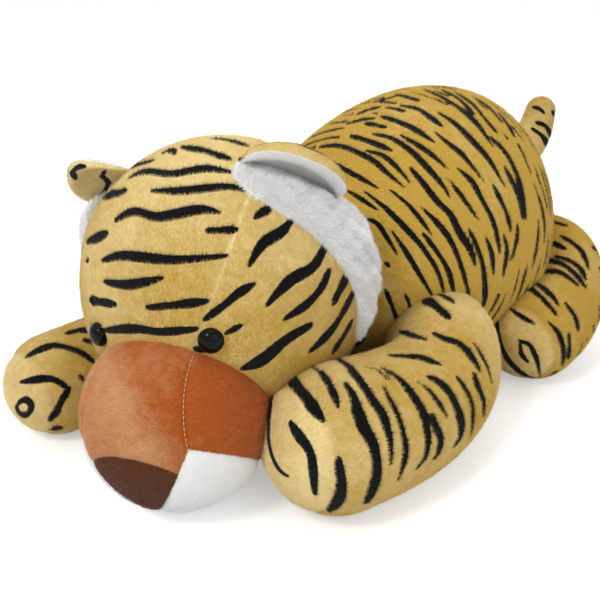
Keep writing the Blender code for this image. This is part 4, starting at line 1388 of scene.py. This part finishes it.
class TIGER_OT_torso(bpy.types.Operator):
    """Make the torso's striped plush"""

    bl_idname = "tiger.torso"
    bl_label = "Torso"

    def execute(self, context):
        made = make_torso_surface(context.scene.tiger_shape.fineness)
        tree = tree_of([made])
        samples = photo_stripes(TORSO_STRIPES, tree, TORSO_CROP, TORSO_STRIPE_WIDENING)
        middle = TORSO_SPINE_HEIGHT * TORSO_HEIGHT
        spine = [(0.0, NECK_MIDDLE.y + share * TORSO_LENGTH, middle) for share in TORSO_SPINE_SHARES]
        samples += seeded_stripes(tree, spine, samples, TORSO_STRIPE_HABIT)
        paint_stripes([made], samples)
        brush_nap_and_light(made, 3, TORSO_NAP)
        finish_plush(made, "striped", 0.9, "torso_skin")
        length = context.scene.tiger_shape.pile_length
        pile = grow_pile(made, "striped", Pile(TORSO_PILE, length, (0.0, 1.0, -0.5)), 100)
        for item in (pile, made):
            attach(item, "torso")
        return {"FINISHED"}


HEAD_STRIPE_HABIT = Stripes(5, 0.0165, 0.0034, (0.03, 0.075))
HEAD_SPINE_REACHES = (0.06, 0.03, 0.0, -0.03)
MUZZLE_NAP = (0.30, 0.10)
BROW_NAP = (0.20, 0.14)

# Look of each panel by the first word of its name, and density and length of each look's pile

PANEL_LOOKS = {
    "chin": "white",
    "muzzle": "rust",
    "nose": "brown",
    "head": "striped",
    "forehead": "striped",
}
PANEL_PILE = {
    "striped": (900000.0, 0.0028),
    "rust": (1600000.0, 0.0019),
    "brown": (1600000.0, 0.0021),
    "white": (1600000.0, 0.0019),
}


class TIGER_OT_head(bpy.types.Operator):
    """Make the sewn panels of head and muzzle"""

    bl_idname = "tiger.head"
    bl_label = "Head and muzzle"

    def execute(self, context):
        panels = make_head_surfaces(context.scene.tiger_shape)
        tree = tree_of(panels.values())
        samples = photo_stripes(HEAD_STRIPES, tree)
        samples += mirrored_on_head(samples, tree)
        spine = [HEAD.place((reach, 0.0, 0.0)) for reach in HEAD_SPINE_REACHES]
        samples += seeded_stripes(tree, spine, samples, HEAD_STRIPE_HABIT)
        striped = [panels[name] for name in ("forehead_panel", "head_side_left", "head_side_right")]
        paint_stripes(striped, samples)
        for number, (name, panel) in enumerate(panels.items()):
            look = PANEL_LOOKS[name.split("_")[0]]
            if look == "rust":
                brush_nap_and_light(panel, 40, *MUZZLE_NAP, muzzle_nap)
            elif look == "striped":
                # The striped panels get painted light over the crown besides their nap
                brush_nap_and_light(panel, 30, *BROW_NAP, brow_nap_and_painted_light)
            else:
                brush_nap_and_light(panel, 50 + number)
            finish_plush(panel, look, 0.9, name)
            if look == "striped":
                trim(panel, inside_neck)
            comb = HEAD.across if look == "rust" else HEAD.along
            pile = grow_pile(panel, look, Pile(*PANEL_PILE[look], -comb), 110)
            for item in (panel, pile):
                if look == "striped":
                    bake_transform(item)
                else:
                    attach(item, "head")
        for side, sign in SIDES:
            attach(stitches_along(muzzle_side_seam(sign), f"muzzle_stitches_{side}"), "head")
        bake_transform(bending_stuffing("head"))
        return {"FINISHED"}


NECK_CLEARANCE = 0.003


def inside_neck(points):
    """Whether each point lies behind the torso's round neck, where nothing shows it."""
    return np.linalg.norm(points - np.array(NECK_MIDDLE), axis=1) < NECK_RADIUS - NECK_CLEARANCE


# How much paler the crown is painted, as painted light from above, and how much paler the nap is along the
# near and the far seam of the forehead

CROWN_PAINTED_LIGHT = 0.38
SEAM_NAP = 0.46
FAR_SEAM_NAP = 0.14
SEAM_NAP_WIDTH = 0.0016


def brow_nap_and_painted_light(points):
    """Painted light over the top of the head, where light falls from above, and paler nap where it parts
    along the forehead's two seams.
    """
    reach, aside, height = HEAD.local(points).T
    # Painted light: the plush is paler the higher it lies on the head, as if lit from above
    crown = np.clip((height + 0.3 * np.minimum(-reach, 0.05)) / HEAD_RADIUS, -0.4, 1.0)
    turn = math.radians(FOREHEAD_HALF_ANGLE)
    from_seam = np.abs(np.abs(aside) * math.cos(turn) - height * math.sin(turn))
    parting = np.where(aside > 0, SEAM_NAP, FAR_SEAM_NAP)
    return CROWN_PAINTED_LIGHT * crown + parting * np.exp(-((from_seam / SEAM_NAP_WIDTH) ** 2))


# The muzzle's tan half: its edge, how the edge slopes forwards and how soft it is. Its top, above a
# height and not far aside, is a little paler too.

TAN_EDGE = 0.007
TAN_SLOPE = 0.8
TAN_SOFTNESS = 0.030
TAN_NAP = 0.62
RUST_NAP = -0.18
TOP_NAP = 0.16
TOP_HEIGHT = 0.045
TOP_SOFTNESS = 0.03
TOP_WIDTH = 0.045


def muzzle_nap(points):
    """Tan nap on the muzzle's right half and over the nose, rust on its left."""
    reach, aside, height = HEAD.local(points).T
    tan = np.clip((TAN_EDGE + TAN_SLOPE * (reach - MUZZLE_REACH) - aside) / TAN_SOFTNESS, 0.0, 1.0)
    upper = np.clip((height - TOP_HEIGHT) / TOP_SOFTNESS, 0.0, 1.0)
    return TAN_NAP * tan + RUST_NAP + TOP_NAP * upper * (1.0 - tan) * (aside < TOP_WIDTH)


def muzzle_side_seam(sign):
    """Points on the muzzle along its side seam, from the head down to the white chin."""
    spread = math.tan(math.radians(MUZZLE_SEAM_SPREAD))
    slope = math.tan(math.radians(CHIN_SEAM_SLOPE))
    corner = MUZZLE_SEAM_RADIUS * math.sin(math.radians(FOREHEAD_HALF_ANGLE))
    points = []
    for reach in np.linspace(MUZZLE_SEAM + 0.002, MUZZLE_REACH + MUZZLE_RADIUS, 200):
        aside = corner + (reach - MUZZLE_SEAM) * spread
        height = math.sqrt(max(MUZZLE_RADIUS**2 - (reach - MUZZLE_REACH) ** 2 - aside**2, 0.0))
        if reach - CHIN_SEAM_REACH > height * slope:
            break
        points.append(HEAD.place((reach, sign * aside, height)))
    return points


LEG_NAPS = {"front_leg_left": 0.37, "front_leg_right": 0.30, "hind_leg_left": 0.12, "hind_leg_right": 0.12}
LEG_NAP_SWING = 0.13
SOLE_NAP = 0.36
SOLE_NAP_EDGE = 0.010
LEG_PILE = 1100000.0
LEG_STRIPE_WIDENING = 1.22
LEG_STRIPE_HABITS = {
    "front_leg_left": Stripes(60, 0.0140, 0.0026, (0.03, 0.075), grazing=0.05),
    "front_leg_right": Stripes(61, 0.0140, 0.0026, (0.03, 0.075), grazing=0.05),
    "hind_leg_left": Stripes(62, 0.0140, 0.0026, (0.03, 0.075), grazing=0.3),
}

# Folds where the left front leg bends, each as its depth and width in metres and pixels of the photograph

LEFT_LEG_FOLDS = (
    (0.0024, 0.0060, 352, 362, 364, 366, 378, 367, 390, 362, 398, 356),
    (0.0016, 0.0045, 386, 366, 404, 376, 424, 394),
    (0.0016, 0.0045, 376, 369, 393, 382, 408, 402),
    (0.0014, 0.0040, 394, 360, 414, 366, 434, 380),
)


def creased(item, folds):
    """Draws the plush in along short folds."""
    tree = tree_of([item])
    points = points_of(item)
    normals = normals_of(item)
    pull = np.zeros(len(points))
    for depth, width, *pixels in folds:
        corners = np.array(pixels, float).reshape(-1, 2)
        shares = np.linspace(0, 1, 60)
        for (x, y), share in zip(smooth_values(corners, shares), shares):
            found = tree.ray_cast(CAMERA_PLACE, pixel_ray(x, y))[0]
            if found is None:
                continue
            distance = np.linalg.norm(points - np.array(found), axis=1)
            pull = np.maximum(pull, depth * math.sin(math.pi * share) ** 0.6 * fade(distance, width))
    put_points(item, points - normals * pull[:, None])


class TIGER_OT_legs(bpy.types.Operator):
    """Make the four legs with their soles"""

    bl_idname = "tiger.legs"
    bl_label = "Legs"

    def execute(self, context):
        fineness = context.scene.tiger_shape.fineness
        length = context.scene.tiger_shape.pile_length
        front_left = (FRONT_LEFT_SPINE, FRONT_LEG_RADIUS, LEFT_PAW_RADIUS)
        front_right = (FRONT_RIGHT_SPINE, FRONT_LEG_RADIUS, RIGHT_PAW_RADIUS)
        hind_left = (HIND_SPINE, HIND_LEG_RADIUS, HIND_PAW_RADIUS)
        mirror = [(-x, y, z) for x, y, z in HIND_SPINE]
        hind_right = (mirror, HIND_LEG_RADIUS, HIND_PAW_RADIUS)
        legs = (
            ("front_leg_left", front_left, LEFT_LEG_STRIPES, LEFT_LEG_CROP),
            ("front_leg_right", front_right, RIGHT_PAW_STRIPES, RIGHT_PAW_CROP),
            ("hind_leg_left", hind_left, HIND_STRIPES, HIND_CROP),
            ("hind_leg_right", hind_right, None, None),
        )
        for number, (name, (spine, thick, paw), stripes, crop) in enumerate(legs):
            made, seam, ahead = make_leg_surface(f"{name}_plush", spine, thick, paw, fineness)
            sewn_ring(made, seam, ahead, SOLE_SEAM_DEPTH, SOLE_SEAM_WIDTH)
            if name == "front_leg_left":
                creased(made, LEFT_LEG_FOLDS)
            if stripes:
                tree = tree_of([made])
                samples = photo_stripes(stripes, tree, crop, LEG_STRIPE_WIDENING)
                samples += seeded_stripes(tree, spine, samples, LEG_STRIPE_HABITS[name])
            else:
                # The right hind leg, which the photograph doesn't show, mirrors the left one's stripes
                samples = [(Vector((-point.x, point.y, point.z)), half) for point, half in samples]
            paint_stripes([made], samples)
            over_sole = lambda points: sole_nap(points, seam, ahead)
            brush_nap_and_light(made, 70 + number, LEG_NAPS[name], LEG_NAP_SWING, over_sole)
            if name == "front_leg_left":
                tuft = np.linalg.norm(points_of(made) - np.array(TUFTED_PLACE), axis=1)
                add_values(made, "tuft", np.clip(1.3 - tuft / TUFTED_REACH, 0.0, 1.0))
            finish_plush(made, "striped", 0.9, f"{name}_skin", f"{name}_sole")
            pile = grow_pile(made, "striped", Pile(LEG_PILE, length, -ahead), 140)
            for item in (made, pile, bending_stuffing(name)):
                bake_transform(item)
        return {"FINISHED"}


def sole_nap(points, seam, ahead):
    """Paler nap over the sole."""
    past = (points - np.array(seam)) @ np.array(ahead)
    return SOLE_NAP * np.clip(past / SOLE_NAP_EDGE + 0.5, 0.0, 1.0)


TAIL_STRIPE_HABIT = Stripes(90, 0.0105, 0.0017, (0.025, 0.06))
TAIL_STRIPE_WIDENING = 1.2
TAIL_NAP = 0.4


class TIGER_OT_tail(bpy.types.Operator):
    """Make the tail"""

    bl_idname = "tiger.tail"
    bl_label = "Tail"

    def execute(self, context):
        shape = context.scene.tiger_shape
        radii = [TAIL_RADIUS, TAIL_RADIUS, TAIL_RADIUS, TAIL_TIP_RADIUS]
        rings, first, last, _ = tube_rings(TAIL_SPINE, radii, TAIL_SIDES, shape.fineness)
        made = lofted("tail_plush", rings, first, last)
        tree = tree_of([made])
        samples = photo_stripes(TAIL_STRIPES, tree, HIND_CROP, TAIL_STRIPE_WIDENING)
        samples += seeded_stripes(tree, TAIL_SPINE, samples, TAIL_STRIPE_HABIT)
        paint_stripes([made], samples)
        brush_nap_and_light(made, 91, TAIL_NAP)
        finish_plush(made, "striped", 0.9, "tail_skin")
        pile = grow_pile(made, "striped", Pile(LEG_PILE, shape.pile_length, (0, 0, -1)), 150)
        for item in (made, pile, bending_stuffing("tail")):
            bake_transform(item)
        return {"FINISHED"}


def ear_foot(sign, share):
    """A place on the seam where the ear is sewn on, from its front end to its back end."""
    front = HEAD.on_ball(EAR_FRONT_REACH, sign * EAR_FRONT_ANGLE, 0.0)
    back = HEAD.on_ball(EAR_BACK_REACH, sign * EAR_BACK_ANGLE, 0.0)
    along = np.array(HEAD.along)
    point = front + (back - front) * share - along * EAR_FOOT_BOW * math.sin(math.pi * share)
    outward = point - np.array(HEAD.middle)
    return np.array(HEAD.middle) + outward / np.linalg.norm(outward) * HEAD_RADIUS


EAR_COLUMNS = 44
EAR_ROWS = 30
EAR_ROUNDNESS = 2.6
EAR_END_HEIGHT = 0.12


def ear_sheet(sign, lift):
    """Grid of points over the ear's middle surface, moved along its facing by lift."""
    lean = math.radians(EAR_LEAN_FORWARD)
    along = np.array(HEAD.along)
    grid = np.empty((EAR_ROWS + 1, EAR_COLUMNS + 1, 3))
    step = 1.0 / EAR_COLUMNS
    for column in range(EAR_COLUMNS + 1):
        share = column / EAR_COLUMNS
        foot = ear_foot(sign, share)
        run = ear_foot(sign, min(share + step, 1.0)) - ear_foot(sign, max(share - step, 0.0))
        droop = math.radians(EAR_FRONT_DROOP + (EAR_BACK_DROOP - EAR_FRONT_DROOP) * share)
        sideways = np.array(HEAD.across) * sign * math.sin(droop) + np.array(HEAD.above) * math.cos(droop)
        away = sideways * math.cos(lean) + along * math.sin(lean)
        facing = np.cross(away, run)
        facing /= np.linalg.norm(facing)
        if facing @ along < 0:
            facing = -facing
        bow = (1.0 - abs(2.0 * share - 1.0) ** EAR_ROUNDNESS) ** (1.0 / EAR_ROUNDNESS)
        for row in range(EAR_ROWS + 1):
            rise = row / EAR_ROWS
            height = EAR_HEIGHT * (EAR_END_HEIGHT + (1.0 - EAR_END_HEIGHT) * bow) * rise
            cup = EAR_CUP * math.sin(math.pi * rise) * math.sin(math.pi * share)
            grid[row, column] = foot + away * height + facing * (lift(rise, share) - cup)
    return grid


def sheet_between(name, outer, inner):
    """A closed sheet between two grids of points, joined along their rims."""
    rows, columns, _ = outer.shape
    points = np.vstack([outer.reshape(-1, 3), inner.reshape(-1, 3)])
    shift = rows * columns
    faces = []
    for row in range(rows - 1):
        for column in range(columns - 1):
            a = row * columns + column
            faces.append((a, a + 1, a + 1 + columns, a + columns))
            faces.append((shift + a + columns, shift + a + 1 + columns, shift + a + 1, shift + a))
    rim = list(range(columns))
    rim += [row * columns + columns - 1 for row in range(1, rows)]
    rim += [(rows - 1) * columns + column for column in range(columns - 2, -1, -1)]
    rim += [row * columns for row in range(rows - 2, 0, -1)]
    for place, point in enumerate(rim):
        following = rim[(place + 1) % len(rim)]
        faces.append((following, point, shift + point, shift + following))
    return mesh_object(name, points, faces)


# Stripes on the near ear's back, each as its height up the ear and where it starts and ends across it

EAR_BACK_STRIPES = (
    (0.84, 0.34, 0.66),
    (0.62, 0.12, 0.50),
    (0.56, 0.62, 0.90),
    (0.32, 0.36, 0.80),
)
EAR_STRIPE_HALF = 0.0021
EAR_STRIPE_WAVE = 0.035


def ear_back_stripes(sheet, tree):
    """Places along each stripe across the ear's back, with the stripe's half width there."""
    samples = []
    for number, (rise, start, end) in enumerate(EAR_BACK_STRIPES):
        wobble = random.Random(number).uniform(0, 6.3)
        for step in np.linspace(0, 1, 60):
            height = rise + EAR_STRIPE_WAVE * math.sin(wobble + 5.0 * step)
            across = smooth_values(sheet, [height])[0]
            point = smooth_values(across, [start + (end - start) * step])[0]
            near = tree.find_nearest(Vector(point))[0]
            samples.append((near, EAR_STRIPE_HALF * stroke_profile(step, wobble)))
    return samples


# Density and length of the ears' pile, and how thick each of their layers is. The left ear lies with
# its lining up, and the right one, turned over, with its striped back up.

EAR_PILE = (1200000.0, 0.0020)
EAR_BACK_PUFF = 0.0105
EAR_LINING_PUFF = 0.0058
TURNED_EAR_PUFF = 0.0100
TURNED_LINING_PUFF = 0.0022
LAYER_GAP = 0.0005
LINING_NAP = 0.6
# Nap of each ear's back. The far right ear, which faces away from the lamps, is painted paler: painted
# light
EAR_BACK_NAPS_AND_PAINTED_LIGHT = {"left": 0.60, "right": 0.90}


def ear_ends(share):
    """Closes each cloth of the ear at its front and back ends."""
    return max(0.0, math.sin(math.pi * min(max(share, 0.0), 1.0))) ** 0.4


def ear_crown(rise, share):
    """Thickness of the ear's striped back as a share: fullest just behind the rim, closed at the rim."""
    return (1.0 - rise**9) ** 0.5 * ear_ends(share) * (0.35 + 0.65 * rise)


def ear_roll(rise, share):
    """Thickness of the ear's lining as a share: a roll below the rim, thin in the cup beneath it."""
    roll = max(0.0, math.sin(math.pi * min(max((rise - 0.42) / 0.58, 0.0), 1.0))) ** 0.6
    return (0.08 + 0.92 * roll) * ear_ends(share) * (1.0 - rise**12)


def layer_lift(way, puff, form):
    """How far a layer stands off the ear's middle surface, ahead of it where way is 1, behind it at -1."""
    return lambda rise, share: way * (LAYER_GAP + puff * form(rise, share))


EAR_LAYERS = {
    "left": (layer_lift(1.0, EAR_LINING_PUFF, ear_roll), layer_lift(-1.0, EAR_BACK_PUFF, ear_crown)),
    "right": (layer_lift(1.0, TURNED_EAR_PUFF, ear_crown), layer_lift(-1.0, TURNED_LINING_PUFF, ear_crown)),
}


class TIGER_OT_ears(bpy.types.Operator):
    """Make both ears, each of a striped back and a white lining"""

    bl_idname = "tiger.ears"
    bl_label = "Ears"

    def execute(self, context):
        for side, sign in SIDES:
            ahead, behind = EAR_LAYERS[side]
            core = ear_sheet(sign, lambda rise, share: 0.0)
            rear = ear_sheet(sign, behind)
            layers = (ear_sheet(sign, ahead), core), (core, rear)
            names = ("lining", "back") if side == "left" else ("back", "lining")
            made = {}
            for name, (outer, inner) in zip(names, layers):
                made[name] = sheet_between(f"ear_{name}_{side}_plush", outer, inner)
            tree = tree_of([made["back"]])
            samples = photo_stripes(EAR_STRIPES, tree) if side == "right" else ear_back_stripes(rear, tree)
            paint_stripes([made["back"]], samples)
            # The right ear's back is painted paler, as painted light on a side that lies in shade
            brush_nap_and_light(made["back"], 80, EAR_BACK_NAPS_AND_PAINTED_LIGHT[side])
            brush_nap_and_light(made["lining"], 81, LINING_NAP)
            for name, look in (("lining", "white"), ("back", "striped")):
                finish_plush(made[name], look, 0.3, f"ear_{name}_{side}")
                pile = grow_pile(made[name], look, Pile(*EAR_PILE, HEAD.above), 130)
                for piece in (made[name], pile):
                    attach(piece, f"ear_{side}")
        return {"FINISHED"}


RUFF_NAP = 0.6
RUFF_PILE = 2600000.0


class TIGER_OT_ruffs(bpy.types.Operator):
    """Make the fluffy white strips between ear and cheek"""

    bl_idname = "tiger.ruffs"
    bl_label = "Cheek ruffs"

    def execute(self, context):
        shares = np.linspace(0, 1, RUFF_ROWS + 1)
        across = np.arange(RUFF_COLUMNS + 1) / RUFF_COLUMNS
        for side, sign, start, thick, thinning in (
            ("left", 1.0, 0.0, RUFF_THICKNESS, 0.0),
            ("right", -1.0, TURNED_RUFF_START, TURNED_RUFF_THICKNESS, RUFF_THINNING),
        ):
            places = start + (1.0 - start) * shares
            angles = smooth_values(RUFF_ANGLES, places)
            fronts = smooth_values(RUFF_FRONT_SHARES, places)
            backs = smooth_values(RUFF_BACK_SHARES, places)
            outer = np.empty((RUFF_ROWS + 1, RUFF_COLUMNS + 1, 3))
            inner = np.empty((RUFF_ROWS + 1, RUFF_COLUMNS + 1, 3))
            for row, along in enumerate(shares):
                ends = math.sin(math.pi * min(max(along, 0.02), 0.98)) ** 0.35
                angle = sign * angles[row]
                for column, share in enumerate(across):
                    reach = (fronts[row] + (backs[row] - fronts[row]) * share) * HEAD_RADIUS
                    swell = math.sin(math.pi * (0.02 + 0.96 * share)) ** 0.6 * ends
                    lift = thick * swell * (1.0 - thinning * along)
                    outer[row, column] = HEAD.on_ball(reach, angle, lift)
                    inner[row, column] = HEAD.on_ball(reach, angle, -RUFF_SINK)
            flat = outer.reshape(-1, 3)
            away = flat - np.array(HEAD.middle)
            away /= np.linalg.norm(away, axis=1, keepdims=True)
            swelling = np.linalg.norm(flat - inner.reshape(-1, 3), axis=1) / thick
            lumps = RUFF_LUMPS * waves(flat, RUFF_LUMP_SIZE, 12) * swelling
            outer = (flat + away * lumps[:, None]).reshape(outer.shape)
            made = sheet_between(f"cheek_ruff_{side}_plush", outer, inner)
            brush_nap_and_light(made, 82, RUFF_NAP)
            finish_plush(made, "white", 0.8, f"cheek_ruff_{side}")
            length = context.scene.tiger_shape.ruff_length
            comb = -HEAD.along - HEAD.above
            fluff = Pile(RUFF_PILE, length, comb, half_width=0.065, rise=0.62, tilt=0.5, spread=0.9)
            pile = grow_pile(made, "white", fluff, 120)
            for item in (made, pile):
                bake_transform(item)
        return {"FINISHED"}


class TIGER_OT_eyes(bpy.types.Operator):
    """Make the glossy eyes"""

    bl_idname = "tiger.eyes"
    bl_label = "Eyes"

    def execute(self, context):
        bulge = EYE_RADIUS * EYE_BULGE_SHARE
        turns = np.linspace(0, 2 * math.pi, EYE_SIDES, endpoint=False)
        rings = []
        for step in range(1, EYE_RINGS):
            lift = math.radians(EYE_SKIRT + step * (90.0 - EYE_SKIRT) / EYE_RINGS)
            wide = EYE_RADIUS * math.cos(lift)
            high = bulge * math.sin(lift)
            rings.append(np.stack([wide * np.cos(turns), wide * np.sin(turns), 0 * turns + high], 1))
        low = bulge * math.sin(math.radians(EYE_SKIRT))
        for side, sign in SIDES:
            point = Vector(HEAD.on_ball(EYE_REACH, sign * EYE_ANGLE, EYE_STAND))
            outward = (point - HEAD.middle).normalized()
            made = lofted(f"eye_{side}_dome", np.array(rings), (0, 0, low), (0, 0, bulge))
            made.data.transform(Vector((0, 0, 1)).rotation_difference(outward).to_matrix().to_4x4())
            made.data.transform(Matrix.Translation(point))
            dress(made, "gloss")
            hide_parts(f"eye_{side}")
            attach(made, "head")
        return {"FINISHED"}


class TIGER_OT_inside(bpy.types.Operator):
    """Give the stuffing and the washers inside their finish"""

    bl_idname = "tiger.inside"
    bl_label = "Stuffing and washers"

    def execute(self, context):
        for name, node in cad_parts.items():
            if name.endswith("_stuffing"):
                dress(node, "fibre")
            elif name.startswith("eye_washer"):
                dress(node, "washer")
        return {"FINISHED"}


FLOOR_DROP = 0.0005
WORLD_LIGHT = 0.62
FLOOR_GLOW = 0.42
LAMP_AIM = Vector((0.0, -0.1, 0.1))

# Name, place, power in watts and size in metres of each lamp

LAMPS = (
    ("key_lamp", (0.35, -1.75, 1.75), 15.5, 0.55),
    ("fill_lamp", (1.9, -0.4, 1.2), 6.0, 1.4),
    ("top_lamp", (-0.5, 0.1, 2.2), 12.0, 1.6),
    ("eye_spark_lamp", (0.45, -1.75, 1.75), 1.2, 0.10),
)


class TIGER_OT_stage(bpy.types.Operator):
    """Set the pale floor, the soft lamps and the camera"""

    bl_idname = "tiger.stage"
    bl_label = "Stage"

    def execute(self, context):
        scene = context.scene
        half = 0.5 * scene.tiger_stage.floor_size
        corners = [(-half, -half, 0), (half, -half, 0), (half, half, 0), (-half, half, 0)]
        floor = mesh_object("floor", corners, [(0, 1, 2, 3)])
        floor.location.z = -FLOOR_DROP
        floor.data.materials.append(floor_material())
        light_world(scene)
        for name, place, power, size in LAMPS:
            lamp = bpy.data.lights.new(name, "AREA")
            lamp.energy = power
            lamp.size = size
            holder = linked(name, lamp)
            holder.location = place
            holder.rotation_euler = (LAMP_AIM - Vector(place)).to_track_quat("-Z", "Y").to_euler()
        lens = bpy.data.cameras.new("camera")
        lens.lens = CAMERA_LENS
        lens.sensor_width = SENSOR_WIDTH
        lens.clip_start = 0.01
        camera = linked("camera", lens)
        camera.location = CAMERA_PLACE
        camera.rotation_euler = CAMERA_TURN
        scene.camera = camera
        scene.view_settings.view_transform = "Standard"
        return {"FINISHED"}


def light_world(scene):
    """A white background that lights the toy less than it shows."""
    world = bpy.data.worlds.new("studio")
    scene.world = world
    world.use_nodes = True
    tree = world.node_tree
    paths = add_node(tree, "ShaderNodeLightPath", None, {}).outputs
    rays = {0: paths["Is Camera Ray"], 1: paths["Is Glossy Ray"]}
    seen = add_node(tree, "ShaderNodeMath", rays, {"operation": "MAXIMUM"}).outputs[0]
    values = {"Value": seen, "To Min": WORLD_LIGHT, "To Max": 1.0}
    strength = add_node(tree, "ShaderNodeMapRange", values, {}).outputs["Result"]
    background = tree.nodes["Background"]
    tree.links.new(strength, background.inputs["Strength"])
    background.inputs["Color"].default_value = (1.0, 1.0, 1.0, 1.0)


def floor_material():
    """Pale floor that reads as white to the camera and keeps the shadow."""
    tree = Tree("pale_floor")
    tree.shader.inputs["Base Color"].default_value = (0.9, 0.9, 0.9, 1.0)
    tree.shader.inputs["Roughness"].default_value = 1.0
    tree.shader.inputs["Specular IOR Level"].default_value = 0.0
    tree.shader.inputs["Emission Color"].default_value = (1.0, 1.0, 1.0, 1.0)
    paths = tree.add("ShaderNodeLightPath")
    shown = tree.math("MAXIMUM", paths.outputs["Is Camera Ray"], paths.outputs["Is Glossy Ray"])
    shown = tree.math("MAXIMUM", shown, paths.outputs["Is Transmission Ray"])
    tree.links.new(tree.math("MULTIPLY", shown, FLOOR_GLOW), tree.shader.inputs["Emission Strength"])
    return tree.material


class TIGER_PT_panel(bpy.types.Panel):
    """Lists the tiger's pieces"""

    bl_label = "Plush Tiger"
    bl_space_type = "VIEW_3D"
    bl_region_type = "UI"
    bl_category = "Plush Tiger"

    def draw(self, context):
        scene = context.scene
        for settings in (scene.tiger_plush, scene.tiger_shape, scene.tiger_stage):
            for name in settings.bl_rna.properties.keys():
                if name not in ("rna_type", "name"):
                    self.layout.prop(settings, name)
        for operator in OPERATORS:
            self.layout.operator(operator.bl_idname)


OPERATORS = (
    TIGER_OT_stage,
    TIGER_OT_torso,
    TIGER_OT_head,
    TIGER_OT_ears,
    TIGER_OT_ruffs,
    TIGER_OT_eyes,
    TIGER_OT_legs,
    TIGER_OT_tail,
    TIGER_OT_inside,
)
CLASSES = (PlushSettings, ShapeSettings, StageSettings, *OPERATORS, TIGER_PT_panel)


def register():
    for made in CLASSES:
        bpy.utils.register_class(made)
    bpy.types.Scene.tiger_plush = PointerProperty(type=PlushSettings)
    bpy.types.Scene.tiger_shape = PointerProperty(type=ShapeSettings)
    bpy.types.Scene.tiger_stage = PointerProperty(type=StageSettings)


def unregister():
    del bpy.types.Scene.tiger_stage
    del bpy.types.Scene.tiger_shape
    del bpy.types.Scene.tiger_plush
    for made in reversed(CLASSES):
        bpy.utils.unregister_class(made)


def main():
    """Makes every piece and the stage."""
    register()
    make_looks(bpy.context.scene.tiger_plush)
    for operator in OPERATORS:
        group, name = operator.bl_idname.split(".")
        getattr(getattr(bpy.ops, group), name)()


if __name__ == "__main__":
    main()
